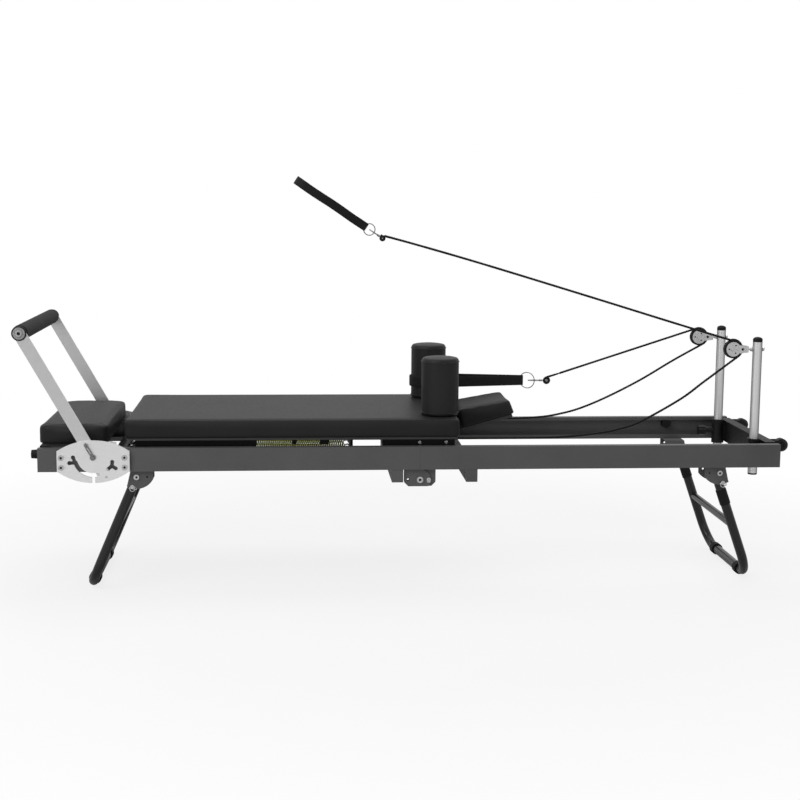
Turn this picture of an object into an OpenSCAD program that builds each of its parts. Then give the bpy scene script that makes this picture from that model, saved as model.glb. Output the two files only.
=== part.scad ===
// Folding pilates reformer.
// Origin: on the floor, under the middle of the whole machine with the footbar
// leant out. X runs along the rails from the footbar end (-X) to the pulley end
// (+X), Y across, Z up. Near is -Y and far is +Y, foot is -X and head is +X.
// Millimetres. The modules are written from the middle of the rails, and
// placed() moves them over to the origin.

/* [Frame] */
// Length of the side rails over both halves
rail_len = 2300; // [2100:10:2500]
// Width over the outer faces of the side rails
frame_w = 600; // [540:10:680]
// Height of the side rails
rail_h = 72; // [60:1:90]
// Height of the rail top above the floor
rail_top = 458; // [420:1:500]
// Wall of the rail channel
rail_wall = 4; // [3:0.5:6]
// Width of the lower rail flange, the wheel track
track_w = 50; // [44:1:60]
// Width of the upper rail flange
flange_w = 26; // [20:1:30]
// Position of the fold joint along the rails
fold_x = 15; // [0:1:40]
// Drop of the fold pivot below the rails
fold_drop = 34; // [30:1:40]

/* [Legs] */
// Outer diameter of the leg tubes
leg_d = 30; // [26:1:34]
// Position of the footbar end leg pivot
foot_leg_x = -855; // [-900:1:-800]
// Position of the pulley end leg pivot
head_leg_x = 962; // [900:1:1000]
// Drop of the leg pivots below the rails
leg_drop = 20; // [18:1:24]
// Splay of the footbar end leg
foot_leg_splay = 148; // [100:1:180]
// Splay of the pulley end leg
head_leg_splay = 123; // [100:1:160]

/* [Carriage] */
// Footbar end of the carriage pad
carriage_x0 = -892; // [-900:1:-840]
// Pulley end of the carriage pad
carriage_x1 = 140; // [100:1:180]
// Width of the carriage pad
carriage_w = 576; // [500:2:600]
// Thickness of the carriage upholstery
pad_t = 58; // [30:1:70]
// Thickness of the carriage board
board_t = 7; // [6:1:18]
// Gap between rail top and carriage board
carriage_gap = 20; // [10:1:30]
// Radius of the carriage wheels
wheel_r = 22; // [18:1:24]

/* [Footbar] */
// Footbar length from pivot to grip
bar_len = 431; // [380:1:480]
// Footbar lean from upright, away from the carriage
bar_lean = 29.3; // [0:0.1:60]
// Width of the flat footbar arms
arm_w = 38; // [30:1:46]
// Diameter of the footbar grip
grip_d = 49; // [40:1:60]

/* [Posts] */
// Diameter of the pulley posts
post_d = 30; // [25:1:34]
// Position of the pulley posts along the rails
post_x = 1095; // [1060:1:1110]
// Distance of each post from the middle
post_y = 198; // [160:1:230]
// Height of the post top above the floor
post_top = 788; // [700:1:900]
// Diameter of the rope pulleys
sheave_d = 58; // [40:1:70]

/* [Upholstery] */
// Diameter of the shoulder rests
rest_d = 120; // [90:1:140]
// Height of the shoulder rests
rest_h = 186; // [150:1:220]
// Raised angle of the headrest
head_tilt = 15.4; // [0:0.1:40]

/* [Hidden] */

half_len = rail_len / 2;
half_w = frame_w / 2;
rail_bottom = rail_top - rail_h;
rail_lip = 3; // thickness of the turned edges of the flanges
beam_w = 34;
head_beam_x = half_len - beam_w;
track_edge = half_w - track_w; // inner edge of each wheel track, from the middle

fold_z = rail_bottom - fold_drop;
leg_z = rail_bottom - leg_drop;
foot_leg_y = 263;
head_leg_y = 227;
foot_pad_r = 19;

bar_x = -981; // footbar pivot
bar_z = rail_bottom + 47;
grip_x = bar_x - bar_len * sin(bar_lean);
grip_z = bar_z + bar_len * cos(bar_lean);
side_bolt_dx = [-96, 94]; // bolts of the side plates, from the footbar pivot
side_bolt_dz = [-1, -31];

wheel_xs = [-800, -70];
wheel_z = rail_bottom + rail_wall + wheel_r;
board_z = rail_top + carriage_gap;
pad_z = board_z + board_t;
carriage_top = pad_z + pad_t;
socket_r = 16; // sockets for the shoulder rest stems
rest_x = 83;
rest_y = 200;
headrest_x = 150; // headrest hinge
headrest_z = 470;

spring_ys = [-160, -80, 0, 80, 160];
spring_z = rail_top - 23;
anchor_x = -896;
catch_x = -200;

eye_z = post_top - 39; // height of the pulley axles
pulley_x = post_x - 80;
transport_d = 41;
transport_x = half_len + 31;
transport_z = rail_top - 16;

// Half the difference between the reach of the grip and of the transport wheels
mid_x = ((grip_d / 2 - grip_x) - (transport_x + transport_d / 2)) / 2;

// Colours used by several nodes
frame_grey = [0.29, 0.29, 0.3];
plate_grey = [0.3, 0.3, 0.31];
bolt_steel = [0.75, 0.75, 0.74];
leg_bolt_steel = [0.78, 0.78, 0.77];
black_steel = [0.1, 0.1, 0.1];
cap_black = [0.05, 0.05, 0.05];
knob_black = [0.04, 0.04, 0.04];
rubber_black = [0.03, 0.03, 0.03];

// ---- shared helpers
module placed() translate([mid_x, 0, 0]) children();

module both() { // the near side and its mirror image on the far side
  children();
  mirror([0, 1, 0]) children();
}

module x_rod(x, y, z, length, d, sides = 32)
  translate([x, y, z]) rotate([0, 90, 0]) cylinder(d = d, h = length, $fn = sides);

module y_rod(x, y0, y1, z, d)
  translate([x, min(y0, y1), z]) rotate([-90, 0, 0]) cylinder(d = d, h = abs(y1 - y0), $fn = 48);

module xz_plate(y0, y1) // a flat outline in X and Z, given thickness from y0 to y1
  translate([0, max(y0, y1), 0]) rotate([90, 0, 0]) linear_extrude(abs(y1 - y0)) children();

module bolt_head(x, y, z, d) // round head with a hexagon socket, standing out towards -Y from y
  translate([x, y, z]) rotate([90, 0, 0]) difference() {
    cylinder(d = d, h = 5, $fn = 32);
    translate([0, 0, 2.4]) cylinder(d = d * 0.48, h = 4, $fn = 6);
  }

module rolled_block(x0, x1, width, z0, z1, r) // upholstered block with rolled edges
  hull() for (x = [x0 + r, x1 - r], y = [-width / 2 + r, width / 2 - r]) {
    translate([x, y, z1 - r]) sphere(r = r, $fn = 24);
    translate([x, y, z0]) cylinder(r = r - 4, h = 1, $fn = 24);
    translate([x, y, z0 + 8]) cylinder(r = r, h = 1, $fn = 24);
  }

pin_d = 6;
pin_hole_d = pin_d + 0.1;
module pull_pin(x, z, y_nose, y_head, ring_r) { // pin with a head and a hanging ring
  wire_r = ring_r < 6 ? 1 : 1.2;
  y_rod(x, y_nose, y_head, z, pin_d);
  y_rod(x, y_head, y_head - 3, z, 13);
  translate([x, y_head - 3.8, z + 1.5 - ring_r]) rotate([90, 0, 0])
    rotate_extrude($fn = 32) translate([ring_r, 0]) circle(r = wire_r, $fn = 12);
}

// ---- frame
fold_gap = 0.15; // clearance of each rail half from the fold joint

module rail(x0, x1) { // near rail, a channel open to the inside with lipped flanges
  length = x1 - x0;
  track_lip_h = 14;
  flange_lip_h = 11;
  translate([x0, -half_w, rail_bottom]) {
    cube([length, rail_wall, rail_h]);
    cube([length, track_w, rail_wall]);
    translate([0, 0, rail_h - rail_wall]) cube([length, flange_w, rail_wall]);
    translate([0, track_w - rail_lip, 0]) cube([length, rail_lip, track_lip_h]);
    translate([0, flange_w - rail_lip, rail_h - flange_lip_h])
      cube([length, rail_lip, flange_lip_h]);
  }
}

module rails_foot_half() placed() color(frame_grey) both() difference() {
  rail(-half_len, fold_x - fold_gap);
  for (dx = side_bolt_dx, dz = side_bolt_dz)
    y_rod(bar_x + dx, -half_w - 1, -half_w + 8, bar_z + dz, 8);
}

module rails_head_half() placed() color([0.26, 0.26, 0.27]) both()
  rail(fold_x + fold_gap, half_len);

module end_beam(x0) {
  wall = 3;
  color([0.08, 0.08, 0.08]) difference() {
    translate([x0, -track_edge, rail_bottom]) cube([beam_w, 2 * track_edge, rail_h]);
    translate([x0 + wall, -track_edge - 1, rail_bottom + wall])
      cube([beam_w - 2 * wall, 2 * track_edge + 2, rail_h - 2 * wall]);
  }
}

cap_t = 5;
module end_caps(x0) { // plugs in the rail ends
  inner_h = rail_h - rail_wall * 2;
  color(cap_black) both() translate([x0, -half_w + rail_wall, rail_bottom + rail_wall]) {
    cube([cap_t, flange_w - rail_wall - rail_lip, inner_h]);
    cube([cap_t, track_w - rail_wall - rail_lip, inner_h - 7]);
  }
}

module foot_end_beam() placed() {
  end_beam(-half_len);
  end_caps(-half_len);
}

module head_end_beam() placed() {
  end_beam(head_beam_x);
  end_caps(half_len - cap_t);
}

module cross_tube(x0) { // rectangular tube under the rails, with push-in end plugs
  width = 35;
  height = 40;
  wall = 2.5;
  plug = wall + 0.05; // inset of the plugs from the outside of the tube
  color([0.27, 0.27, 0.28]) {
    difference() {
      translate([x0, -half_w + 2, rail_bottom - height]) cube([width, frame_w - 4, height]);
      translate([x0 + wall, -half_w, rail_bottom - height + wall])
        cube([width - 2 * wall, frame_w, height - 2 * wall]);
    }
    both() translate([x0 + plug, -half_w + 2.1, rail_bottom - height + plug])
      cube([width - 2 * plug, 3, height - 2 * plug]);
  }
}
module foot_cross_tube() placed() cross_tube(-73);
module head_cross_tube() placed() cross_tube(158);

// ---- fold joint
fold_reach = 49; // plate length from the pivot
fold_below = 21; // plate depth below the pivot
fold_plate_t = 5;
fold_foot_ys = [-286, -273.5]; // outer faces of the two foot half plates
fold_head_y = -280; // outer face of the head half plate between them
fold_inner_y = fold_foot_ys[1] + fold_plate_t;
fold_pin_dx = 27;
fold_bolt_d = 12;

module fold_shape(side) difference() { // side: -1 for the foot half, 1 for the head half
  union() {
    translate([side < 0 ? -fold_reach : 0, -fold_below])
      square([fold_reach, fold_drop + fold_below]);
    intersection() {
      circle(r = 33, $fn = 96);
      translate([-40, -fold_below]) square([80, 60]);
    }
  }
  translate([side * fold_reach, -fold_below]) rotate(45) square([18, 18], center = true);
  circle(d = side < 0 ? fold_bolt_d : fold_bolt_d + 0.1, $fn = 48);
  translate([fold_pin_dx, 0]) circle(d = pin_hole_d, $fn = 32);
  if (side < 0) translate([-37, 0]) circle(d = 8, $fn = 32);
}

module fold_plate(side, y)
  translate([fold_x, 0, fold_z]) xz_plate(y, y + fold_plate_t) fold_shape(side);

module fold_plates_foot() placed() color(plate_grey) both()
  for (y = fold_foot_ys) fold_plate(-1, y);

module fold_plates_head() placed() color(plate_grey) both() fold_plate(1, fold_head_y);

module fold_pivot_bolts() placed() color(bolt_steel) both() {
  y_rod(fold_x, fold_foot_ys[0], fold_inner_y, fold_z, fold_bolt_d);
  bolt_head(fold_x, fold_foot_ys[0], fold_z, 20);
  y_rod(fold_x, fold_inner_y, -262, fold_z, 18);
}

module near_fold_pin() placed() color(bolt_steel)
  pull_pin(fold_x + fold_pin_dx, fold_z, -280.5, -286.3, ring_r = 5);
module far_fold_pin() mirror([0, 1, 0]) near_fold_pin();

// ---- leg brackets; side is the way a leg leans, -1 to the foot end and 1 to the head end
bracket_y = 285; // outer face of the brackets
bracket_t = 5; // outer plate
bracket_inner_t = 3; // inner plate and the web against the rail
foot_bracket_in = 244.5; // inner face of the foot brackets
head_bracket_in = 206;
bracket_front = 18; // reach towards the leaning side
leg_bolt_d = 10;
leg_pin_r = 33; // leg pin from the pivot
foot_pin_angle = 23.1;
head_pin_angle = 19.5;

module bracket_shape(side, x, pin_angle, back) difference() { // back: reach away from the lean
  intersection() {
    translate([x, rail_bottom]) circle(r = 57, $fn = 96);
    polygon([
      [x + side * bracket_front, rail_bottom],
      [x - side * back, rail_bottom],
      [x - side * back, rail_bottom - 80],
      [x + side * 40, rail_bottom - 80],
      [x + side * (bracket_front + 10), rail_bottom - 42]
    ]);
  }
  translate([x, leg_z]) circle(d = leg_bolt_d, $fn = 48);
  translate([x - side * 32, leg_z]) circle(d = 7, $fn = 32);
  translate([x + side * leg_pin_r * sin(pin_angle), leg_z - leg_pin_r * cos(pin_angle)])
    circle(d = pin_hole_d, $fn = 32);
}

module brackets(side, x, pin_angle, y_in, back) both() {
  xz_plate(-bracket_y, -bracket_y + bracket_t) bracket_shape(side, x, pin_angle, back);
  xz_plate(-y_in - bracket_inner_t, -y_in) bracket_shape(side, x, pin_angle, back);
  translate([min(x + side * bracket_front, x - side * back), -bracket_y,
             rail_bottom - bracket_inner_t])
    cube([bracket_front + back, bracket_y - y_in, bracket_inner_t]);
}

module leg_brackets_foot() placed() color(frame_grey)
  brackets(-1, foot_leg_x, foot_pin_angle, foot_bracket_in, back = 51);

module leg_brackets_head() placed() color(frame_grey)
  brackets(1, head_leg_x, head_pin_angle, head_bracket_in, back = 46.5);

module leg_bolts(x, y_in) both() {
  y_rod(x, -bracket_y, -y_in, leg_z, leg_bolt_d);
  bolt_head(x, -bracket_y, leg_z, 17);
  y_rod(x, -y_in, -y_in + 6, leg_z, 15);
}

module leg_pivot_bolts_foot() placed() color(leg_bolt_steel)
  leg_bolts(foot_leg_x, foot_bracket_in);

module leg_pivot_bolts_head() placed() color(leg_bolt_steel) {
  leg_bolts(head_leg_x, head_bracket_in);
  both() difference() { // spacer between the outer plate and the leg
    y_rod(head_leg_x, -279.9, -head_leg_y - 15.2, leg_z, 16);
    y_rod(head_leg_x, -281, -head_leg_y - 14, leg_z, leg_bolt_d);
  }
}

module leg_pin(side, x, angle) color(leg_bolt_steel)
  pull_pin(x + side * leg_pin_r * sin(angle), leg_z - leg_pin_r * cos(angle),
           -279, -285.3, ring_r = 7.5);

module near_foot_leg_pin() placed() leg_pin(-1, foot_leg_x, foot_pin_angle);
module far_foot_leg_pin() mirror([0, 1, 0]) near_foot_leg_pin();
module near_head_leg_pin() placed() leg_pin(1, head_leg_x, head_pin_angle);
module far_head_leg_pin() mirror([0, 1, 0]) near_head_leg_pin();

// ---- legs
leg_bend_r = 80;
leg_rise = leg_z - foot_pad_r; // from the tube on the floor up to the pivot
brace_drop = 190; // from the pivot, along the leg
function leg_angle(splay) = atan2(splay, leg_rise);

module leg_tubes(half_span, length) { // a bent tube with an upper brace, hanging straight down
  straight = length - leg_bend_r;
  difference() {
    union() {
      both() translate([0, -half_span, 0]) mirror([0, 0, 1])
        cylinder(d = leg_d, h = straight, $fn = 48);
      both() translate([0, -half_span, 0]) sphere(d = leg_d, $fn = 48);
      both() translate([0, -half_span + leg_bend_r, -straight])
        rotate([0, 90, 0]) rotate([0, 0, 180]) mirror([1, 0, 0])
          rotate_extrude(angle = 90, $fn = 72)
            translate([leg_bend_r, 0]) circle(d = leg_d, $fn = 48);
      translate([0, -half_span + leg_bend_r, -length]) rotate([-90, 0, 0])
        cylinder(d = leg_d, h = 2 * (half_span - leg_bend_r), $fn = 48);
      translate([0, -half_span, -brace_drop]) rotate([-90, 0, 0])
        cylinder(d = 24, h = 2 * half_span, $fn = 48);
    }
    both() translate([0, -half_span - 30, 0]) rotate([-90, 0, 0])
      cylinder(d = leg_bolt_d + 0.1, h = 60, $fn = 48);
  }
}

module leg_frame(side, x, half_span, splay) color(black_steel)
  translate([x, 0, leg_z]) rotate([0, -side * leg_angle(splay), 0])
    leg_tubes(half_span, norm([splay, leg_rise]));

module foot_leg_frame() placed() leg_frame(-1, foot_leg_x, foot_leg_y, foot_leg_splay);
module head_leg_frame() placed() leg_frame(1, head_leg_x, head_leg_y, head_leg_splay);

module pad_ring(x, y) difference() { // ring round the floor tube, cut flat at the floor
  y_rod(x, y - 14, y + 14, foot_pad_r, 2 * foot_pad_r + 1);
  y_rod(x, y - 15, y + 15, foot_pad_r, leg_d + 0.1);
  translate([x - 30, y - 20, -2]) cube([60, 40, 2]);
}

module leg_collar() difference() { // collar round the head leg
  cylinder(d = 34, h = 50, $fn = 48);
  translate([0, 0, -1]) cylinder(d = leg_d + 0.1, h = 52, $fn = 48);
}

module foot_leg_pads() placed() color(knob_black) both()
  pad_ring(foot_leg_x - foot_leg_splay, -152);

module head_leg_pads() placed() color(knob_black) {
  both() pad_ring(head_leg_x + head_leg_splay, -130);
  both() translate([head_leg_x, -head_leg_y, leg_z])
    rotate([0, -leg_angle(head_leg_splay), 0]) mirror([0, 0, 1])
      translate([0, 0, 68]) leg_collar();
}

// ---- footbar
side_plate_in = half_w + 8;
side_plate_out = half_w + 13;
pivot_d = 12;
bar_tube_d = 26;

module leant() translate([bar_x, 0, bar_z]) rotate([0, -bar_lean, 0]) children();

module arc_slot(r, width, start, end) { // round-ended slot on an arc, angles in degrees
  difference() {
    circle(r = r + width / 2, $fn = 96);
    circle(r = r - width / 2, $fn = 96);
    polygon([
      [0, 0],
      for (i = [0 : 12])
        let (a = end + (360 + start - end) * i / 12) [200 * cos(a), 200 * sin(a)]
    ]);
  }
  for (a = [start, end]) rotate(a) translate([r, 0]) circle(d = width, $fn = 32);
}

module branched_hole(hub, ends, end_r) // round holes, each joined to a shared hub
  for (end = ends) {
    translate(end) circle(r = end_r, $fn = 32);
    hull() {
      translate(hub) circle(r = 6, $fn = 24);
      translate(end) circle(r = 5, $fn = 24);
    }
  }

module side_plate_shape() difference() { // lens cut off at both ends, from the footbar pivot
  intersection() {
    translate([-109, -200]) square([218, 400]);
    translate([0, 52 - 196.5]) circle(r = 196.5, $fn = 240);
    translate([0, -79 + 183]) circle(r = 183, $fn = 240);
  }
  arc_slot(55, 13, 197, 283);
  branched_hole([-54, -16], [[-60, 0], [-71, -17]], 6.5);
  branched_hole([56, -27], [[57, -14], [44, -36], [67, -34]], 6);
  translate([0, -70]) square([9, 22], center = true);
  translate([39, -61]) circle(d = 7, $fn = 32);
  circle(d = pivot_d + 0.1, $fn = 48);
  for (x = side_bolt_dx, z = side_bolt_dz) translate([x, z]) circle(d = 8, $fn = 32);
}

module footbar_side_plates() placed() color([0.82, 0.82, 0.8]) both()
  translate([bar_x, 0, bar_z]) xz_plate(-side_plate_out, -side_plate_in) side_plate_shape();

module side_plate_bolt(x, z) { // spacer, shank and head
  difference() {
    y_rod(x, -side_plate_in, -half_w, z, 16);
    y_rod(x, -side_plate_in - 1, -half_w + 1, z, 8);
  }
  y_rod(x, -side_plate_out, -half_w + 5, z, 7.9);
  bolt_head(x, -side_plate_out, z, 18);
}

module footbar_bolts() placed() color(bolt_steel) both() {
  for (dx = side_bolt_dx, dz = side_bolt_dz) side_plate_bolt(bar_x + dx, bar_z + dz);
  y_rod(bar_x, -side_plate_out, -half_w, bar_z, pivot_d);
  y_rod(bar_x, -side_plate_out - 3, -side_plate_out, bar_z, 20);
}

module footbar_arms() {
  tail = 60; // below the pivot
  placed() color([0.72, 0.71, 0.69]) both() leant()
    xz_plate(-half_w - 7, -half_w - 1) difference() {
      union() {
        translate([-arm_w / 2, -tail]) square([arm_w, bar_len + tail]);
        translate([0, -tail]) circle(d = arm_w, $fn = 64);
        translate([0, bar_len]) circle(d = arm_w, $fn = 64);
      }
      circle(d = pivot_d + 0.1, $fn = 48);
      translate([0, bar_len]) circle(d = 12, $fn = 48);
      translate([0, -tail - 2]) circle(d = 7, $fn = 32);
    }
}

module footbar_tube() placed() color([0.6, 0.6, 0.6]) difference() {
  y_rod(grip_x, -half_w + 0.5, half_w - 0.5, grip_z, bar_tube_d);
  y_rod(grip_x, -half_w, half_w, grip_z, 12);
}

module footbar_grip() placed() color([0.07, 0.07, 0.07]) difference() {
  y_rod(grip_x, -half_w + 3, half_w - 3, grip_z, grip_d);
  y_rod(grip_x, -half_w, half_w, grip_z, bar_tube_d);
}

module footbar_end_discs() placed() color([0.35, 0.35, 0.35]) both() {
  y_rod(grip_x, -half_w - 12, -half_w - 7.05, grip_z, 45);
  y_rod(grip_x, -half_w - 7.1, -half_w + 40, grip_z, 11.7);
  y_rod(grip_x, -half_w - 0.95, -half_w + 0.5, grip_z, 40);
  bolt_head(grip_x, -half_w - 12, grip_z, 20);
}

module footbar_lock_levers() {
  lever_len = 44;
  outer_y = -half_w - 19;
  placed() color([0.8, 0.8, 0.8]) both() leant() {
    xz_plate(outer_y, outer_y + 2.6) difference() {
      union() {
        circle(d = 17, $fn = 32);
        translate([-5, 0]) square([10, lever_len]);
        translate([0, lever_len]) circle(d = 10, $fn = 32);
      }
      translate([0, 24]) square([4, 22], center = true);
    }
    translate([0, outer_y, 0]) rotate([90, 0, 0]) cylinder(d = 11, h = 4, $fn = 6);
  }
}

// ---- foot end fittings
platform_board_t = 10;

module platform_board() placed() color(black_steel)
  translate([-1141, -262, rail_top]) cube([190, 524, platform_board_t]);

module platform_pad() placed() color([0.16, 0.16, 0.17])
  rolled_block(-1151, -943, 544, rail_top + platform_board_t, rail_top + 68, r = 13);

module spring_anchor_bar() placed() color(black_steel) {
  translate([anchor_x - 12, -track_edge, spring_z - 28]) cube([10, 2 * track_edge, 30]);
  for (y = spring_ys) translate([anchor_x - 4, y - 3, spring_z - 8]) cube([10, 6, 8]);
}

module springs() { // each a plain coil-sized cylinder round a thinner rod
  span = catch_x - anchor_x;
  placed() color([0.75, 0.72, 0.1]) for (y = spring_ys) {
    x_rod(anchor_x + 12, y, spring_z, span - 26, 20);
    x_rod(anchor_x + 6, y, spring_z, span - 4, 6, sides = 16);
  }
}

module storage_feet() {
  length = 22;
  placed() color(rubber_black) both()
    translate([-half_len - length, -half_w + 34, rail_top - 22]) rotate([0, 90, 0])
      cylinder(d1 = 26, d2 = 29, h = length, $fn = 48);
}

// ---- pulley end fittings
knob_z = rail_bottom + 38;

module post_sleeves() placed() color(cap_black) both() difference() {
  union() {
    translate([post_x, -post_y, rail_bottom - 5]) cylinder(d = 42, h = rail_h + 9, $fn = 64);
    translate([post_x, -post_y - 15, rail_bottom + 6])
      cube([head_beam_x - post_x, 30, rail_h - 12]);
    x_rod(post_x - 45, -post_y, knob_z, 30, 22);
  }
  translate([post_x, -post_y, rail_bottom - 6])
    cylinder(d = post_d + 0.1, h = rail_h + 20, $fn = 64);
  x_rod(post_x - 46, -post_y, knob_z, 40, 10.1);
}

module post_lock_knobs() placed() color(knob_black) both() {
  translate([post_x - 70, -post_y, knob_z]) rotate([0, 90, 0]) difference() {
    cylinder(d = 34, h = 24, $fn = 48);
    for (a = [0 : 60 : 359]) rotate(a) translate([20, 0, -1]) cylinder(d = 12, h = 26, $fn = 24);
  }
  x_rod(post_x - 46, -post_y, knob_z, 30, 10);
}

module carriage_bumpers() placed() color(rubber_black) both()
  y_rod(934, -half_w + rail_wall, -half_w + 23, rail_bottom + 48, 32);

module wheel_brackets() placed() color(black_steel) both() {
  for (y = [-222, -194]) translate([0, y, 0]) {
    translate([half_len, 0, rail_top - 32]) cube([transport_x - half_len, 4, 32]);
    translate([transport_x, 0, transport_z]) rotate([-90, 0, 0])
      cylinder(d = 24, h = 4, $fn = 48);
  }
  y_rod(transport_x, -226, -186, transport_z, 8);
  bolt_head(transport_x, -226, transport_z, 14);
}

module transport_wheels() placed() color([0.2, 0.2, 0.2]) both() difference() {
  y_rod(transport_x, -217.5, -194.5, transport_z, transport_d);
  y_rod(transport_x, -230, -180, transport_z, 8.1);
}

module post() { // post with a bored foot and a domed cap, and its eye bolt
  foot_drop = 41; // below the rails
  height = post_top - rail_bottom + foot_drop;
  bore_r = 13;
  bore_h = 379;
  post_r = post_d / 2;
  cap_r = post_r + 1;
  dome_h = 8;
  cap_z = height - dome_h;
  color([0.85, 0.85, 0.86]) {
    translate([post_x, -post_y, rail_bottom - foot_drop]) rotate_extrude($fn = 64)
      polygon(concat(
        [[bore_r, 0], [post_r, 0], [post_r, cap_z - 4], [cap_r, cap_z - 4], [cap_r, cap_z]],
        [for (i = [1 : 8]) let (a = 90 * i / 8) [cap_r * cos(a), cap_z + dome_h * sin(a)]],
        [[0, bore_h], [bore_r, bore_h]]));
    eye_bolt();
  }
}

module eye_bolt() { // shank that holds the pulley, and its nut
  x_rod(post_x - 41, -post_y, eye_z, 63, 8);
  x_rod(post_x + 11, -post_y, eye_z, 11, 14, sides = 6);
}

module near_post() placed() post();
module far_post() mirror([0, 1, 0]) near_post();

module housing_shape() difference() {
  union() {
    circle(d = 46, $fn = 64);
    hull() {
      translate([22, 0]) circle(d = 26, $fn = 32);
      translate([44, 0]) square([10, 20], center = true);
    }
  }
  circle(d = 8, $fn = 32);
  translate([30, 0]) circle(d = 9, $fn = 32);
  for (a = [60, 180, 300]) rotate(a) translate([14, 0]) circle(d = 5, $fn = 24);
}

module near_pulley_housing() placed() translate([pulley_x, -post_y, eye_z]) {
  color([0.5, 0.5, 0.49]) {
    for (y = [-10, 7.5]) xz_plate(y, y + 2.5) housing_shape();
    difference() { // block that joins the cheeks round the eye bolt
      translate([39, -7.5, -8]) cube([8, 15, 16]);
      x_rod(38, 0, 0, 20, 8);
    }
  }
  color([0.7, 0.7, 0.7]) {
    y_rod(0, -10, 10, 0, 8);
    for (y = [-12, 10]) y_rod(0, y, y + 2, 0, 14);
  }
}
module far_pulley_housing() mirror([0, 1, 0]) near_pulley_housing();

module near_pulley_sheave() {
  bore_r = 4.05;
  sheave_r = sheave_d / 2;
  placed() color(cap_black) translate([pulley_x, -post_y, eye_z]) rotate([90, 0, 0])
    rotate_extrude($fn = 72) difference() {
      translate([bore_r, -7]) square([sheave_r - bore_r, 14]);
      translate([sheave_r + 1, 0]) circle(r = 4.5, $fn = 32);
    }
}
module far_pulley_sheave() mirror([0, 1, 0]) near_pulley_sheave();

// ---- carriage
board_inset = 8; // from the pad edge
under_h = 26; // height of the underframe bars
under_w = 25;
under_y = 244; // half the underframe width
under_z = board_z - under_h;
cross_xs = [-862, -515, -100, 102]; // foot side faces of the cross bars
stem_d = 25; // shoulder rest stem

module carriage_board() placed() color([0.2, 0.17, 0.13]) difference() {
  translate([carriage_x0 + board_inset, -carriage_w / 2 + board_inset, board_z])
    cube([carriage_x1 - carriage_x0 - 2 * board_inset, carriage_w - 2 * board_inset, board_t]);
  both() translate([rest_x, -rest_y, board_z - 1])
    cylinder(r = socket_r, h = board_t + 2, $fn = 48);
}

module carriage_pad() placed() color([0.2, 0.2, 0.21]) difference() {
  rolled_block(carriage_x0, carriage_x1, carriage_w, pad_z, carriage_top, r = 12);
  both() translate([rest_x, -rest_y, pad_z - 1]) cylinder(r = 14, h = pad_t + 2, $fn = 48);
}

module rest_socket() { // tube and block for a shoulder rest stem
  below = 20; // tube below the underframe
  translate([rest_x, -rest_y, under_z - below]) difference() {
    union() {
      cylinder(r = socket_r, h = below + under_h + board_t, $fn = 48);
      translate([-18, -24, below]) cube([36, 24, under_h]);
    }
    translate([0, 0, -1]) cylinder(d = stem_d + 0.1, h = 70, $fn = 48);
  }
}

module wheel_tab(x) translate([x - 20, -under_y, wheel_z - 14]) difference() {
  cube([40, 5, under_z - wheel_z + 15]);
  translate([20, -1, 14]) rotate([-90, 0, 0]) cylinder(d = 8, h = 10, $fn = 32);
}

module headrest_tab() translate([cross_xs[3], -66, headrest_z - 10]) difference() {
  cube([58, 6, 18]);
  translate([headrest_x - cross_xs[3], -1, 10]) rotate([-90, 0, 0])
    cylinder(d = 8, h = 10, $fn = 32);
}

module carriage_underframe() placed() color(black_steel) {
  for (x = cross_xs) translate([x, -under_y, under_z]) cube([under_w, 2 * under_y, under_h]);
  both() {
    for (i = [0, 2]) // side bars between the first and last pairs of cross bars
      translate([cross_xs[i] + under_w, -under_y, under_z])
        cube([cross_xs[i + 1] - cross_xs[i] - under_w, under_w, under_h]);
    rest_socket();
    for (x = wheel_xs) wheel_tab(x);
    headrest_tab();
  }
  translate([catch_x + 2, -200, spring_z - 8]) cube([8, 400, board_z - spring_z + 8]);
  for (slat = [[-381, 15], [-294, 28]]) // [x, width]
    translate([slat[0], -under_y, board_z - 20]) cube([slat[1], 2 * under_y, 20]);
  y_rod(headrest_x, -70, 70, headrest_z, 8);
}

module carriage_wheel_axles() placed() color([0.6, 0.6, 0.6]) both() for (x = wheel_xs) {
  y_rod(x, -283, -239, wheel_z, 8);
  y_rod(x, -285.5, -283, wheel_z, 15);
  y_rod(x, -239, -233, wheel_z, 14);
}

module wheel_pair(x) color(black_steel) both() difference() {
  y_rod(x, -281, -261, wheel_z, wheel_r * 2);
  y_rod(x, -290, -250, wheel_z, 8.1);
}
module foot_side_wheels() placed() wheel_pair(wheel_xs[0]);
module head_side_wheels() placed() wheel_pair(wheel_xs[1]);

module shoulder_rest() { // round rest with rolled edges, on a stem
  rest_r = rest_d / 2;
  low_r = 10; // lower edge rounding
  top_r = 12; // upper edge rounding
  color([0.13, 0.13, 0.14]) {
    translate([rest_x, -rest_y, carriage_top + 0.6]) rotate_extrude($fn = 96) {
      square([rest_r - low_r, rest_h]);
      translate([0, low_r]) square([rest_r, rest_h - low_r - top_r]);
      translate([rest_r - low_r, low_r]) circle(r = low_r, $fn = 32);
      translate([rest_r - top_r, rest_h - top_r]) circle(r = top_r, $fn = 32);
    }
    translate([rest_x, -rest_y, board_z - 40])
      cylinder(d = stem_d, h = carriage_top - board_z + 60, $fn = 48);
  }
}
module near_shoulder_rest() placed() shoulder_rest();
module far_shoulder_rest() mirror([0, 1, 0]) near_shoulder_rest();

headrest_board_t = 9;
module tilted() translate([headrest_x, 0, headrest_z]) rotate([0, -head_tilt, 0]) children();

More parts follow.
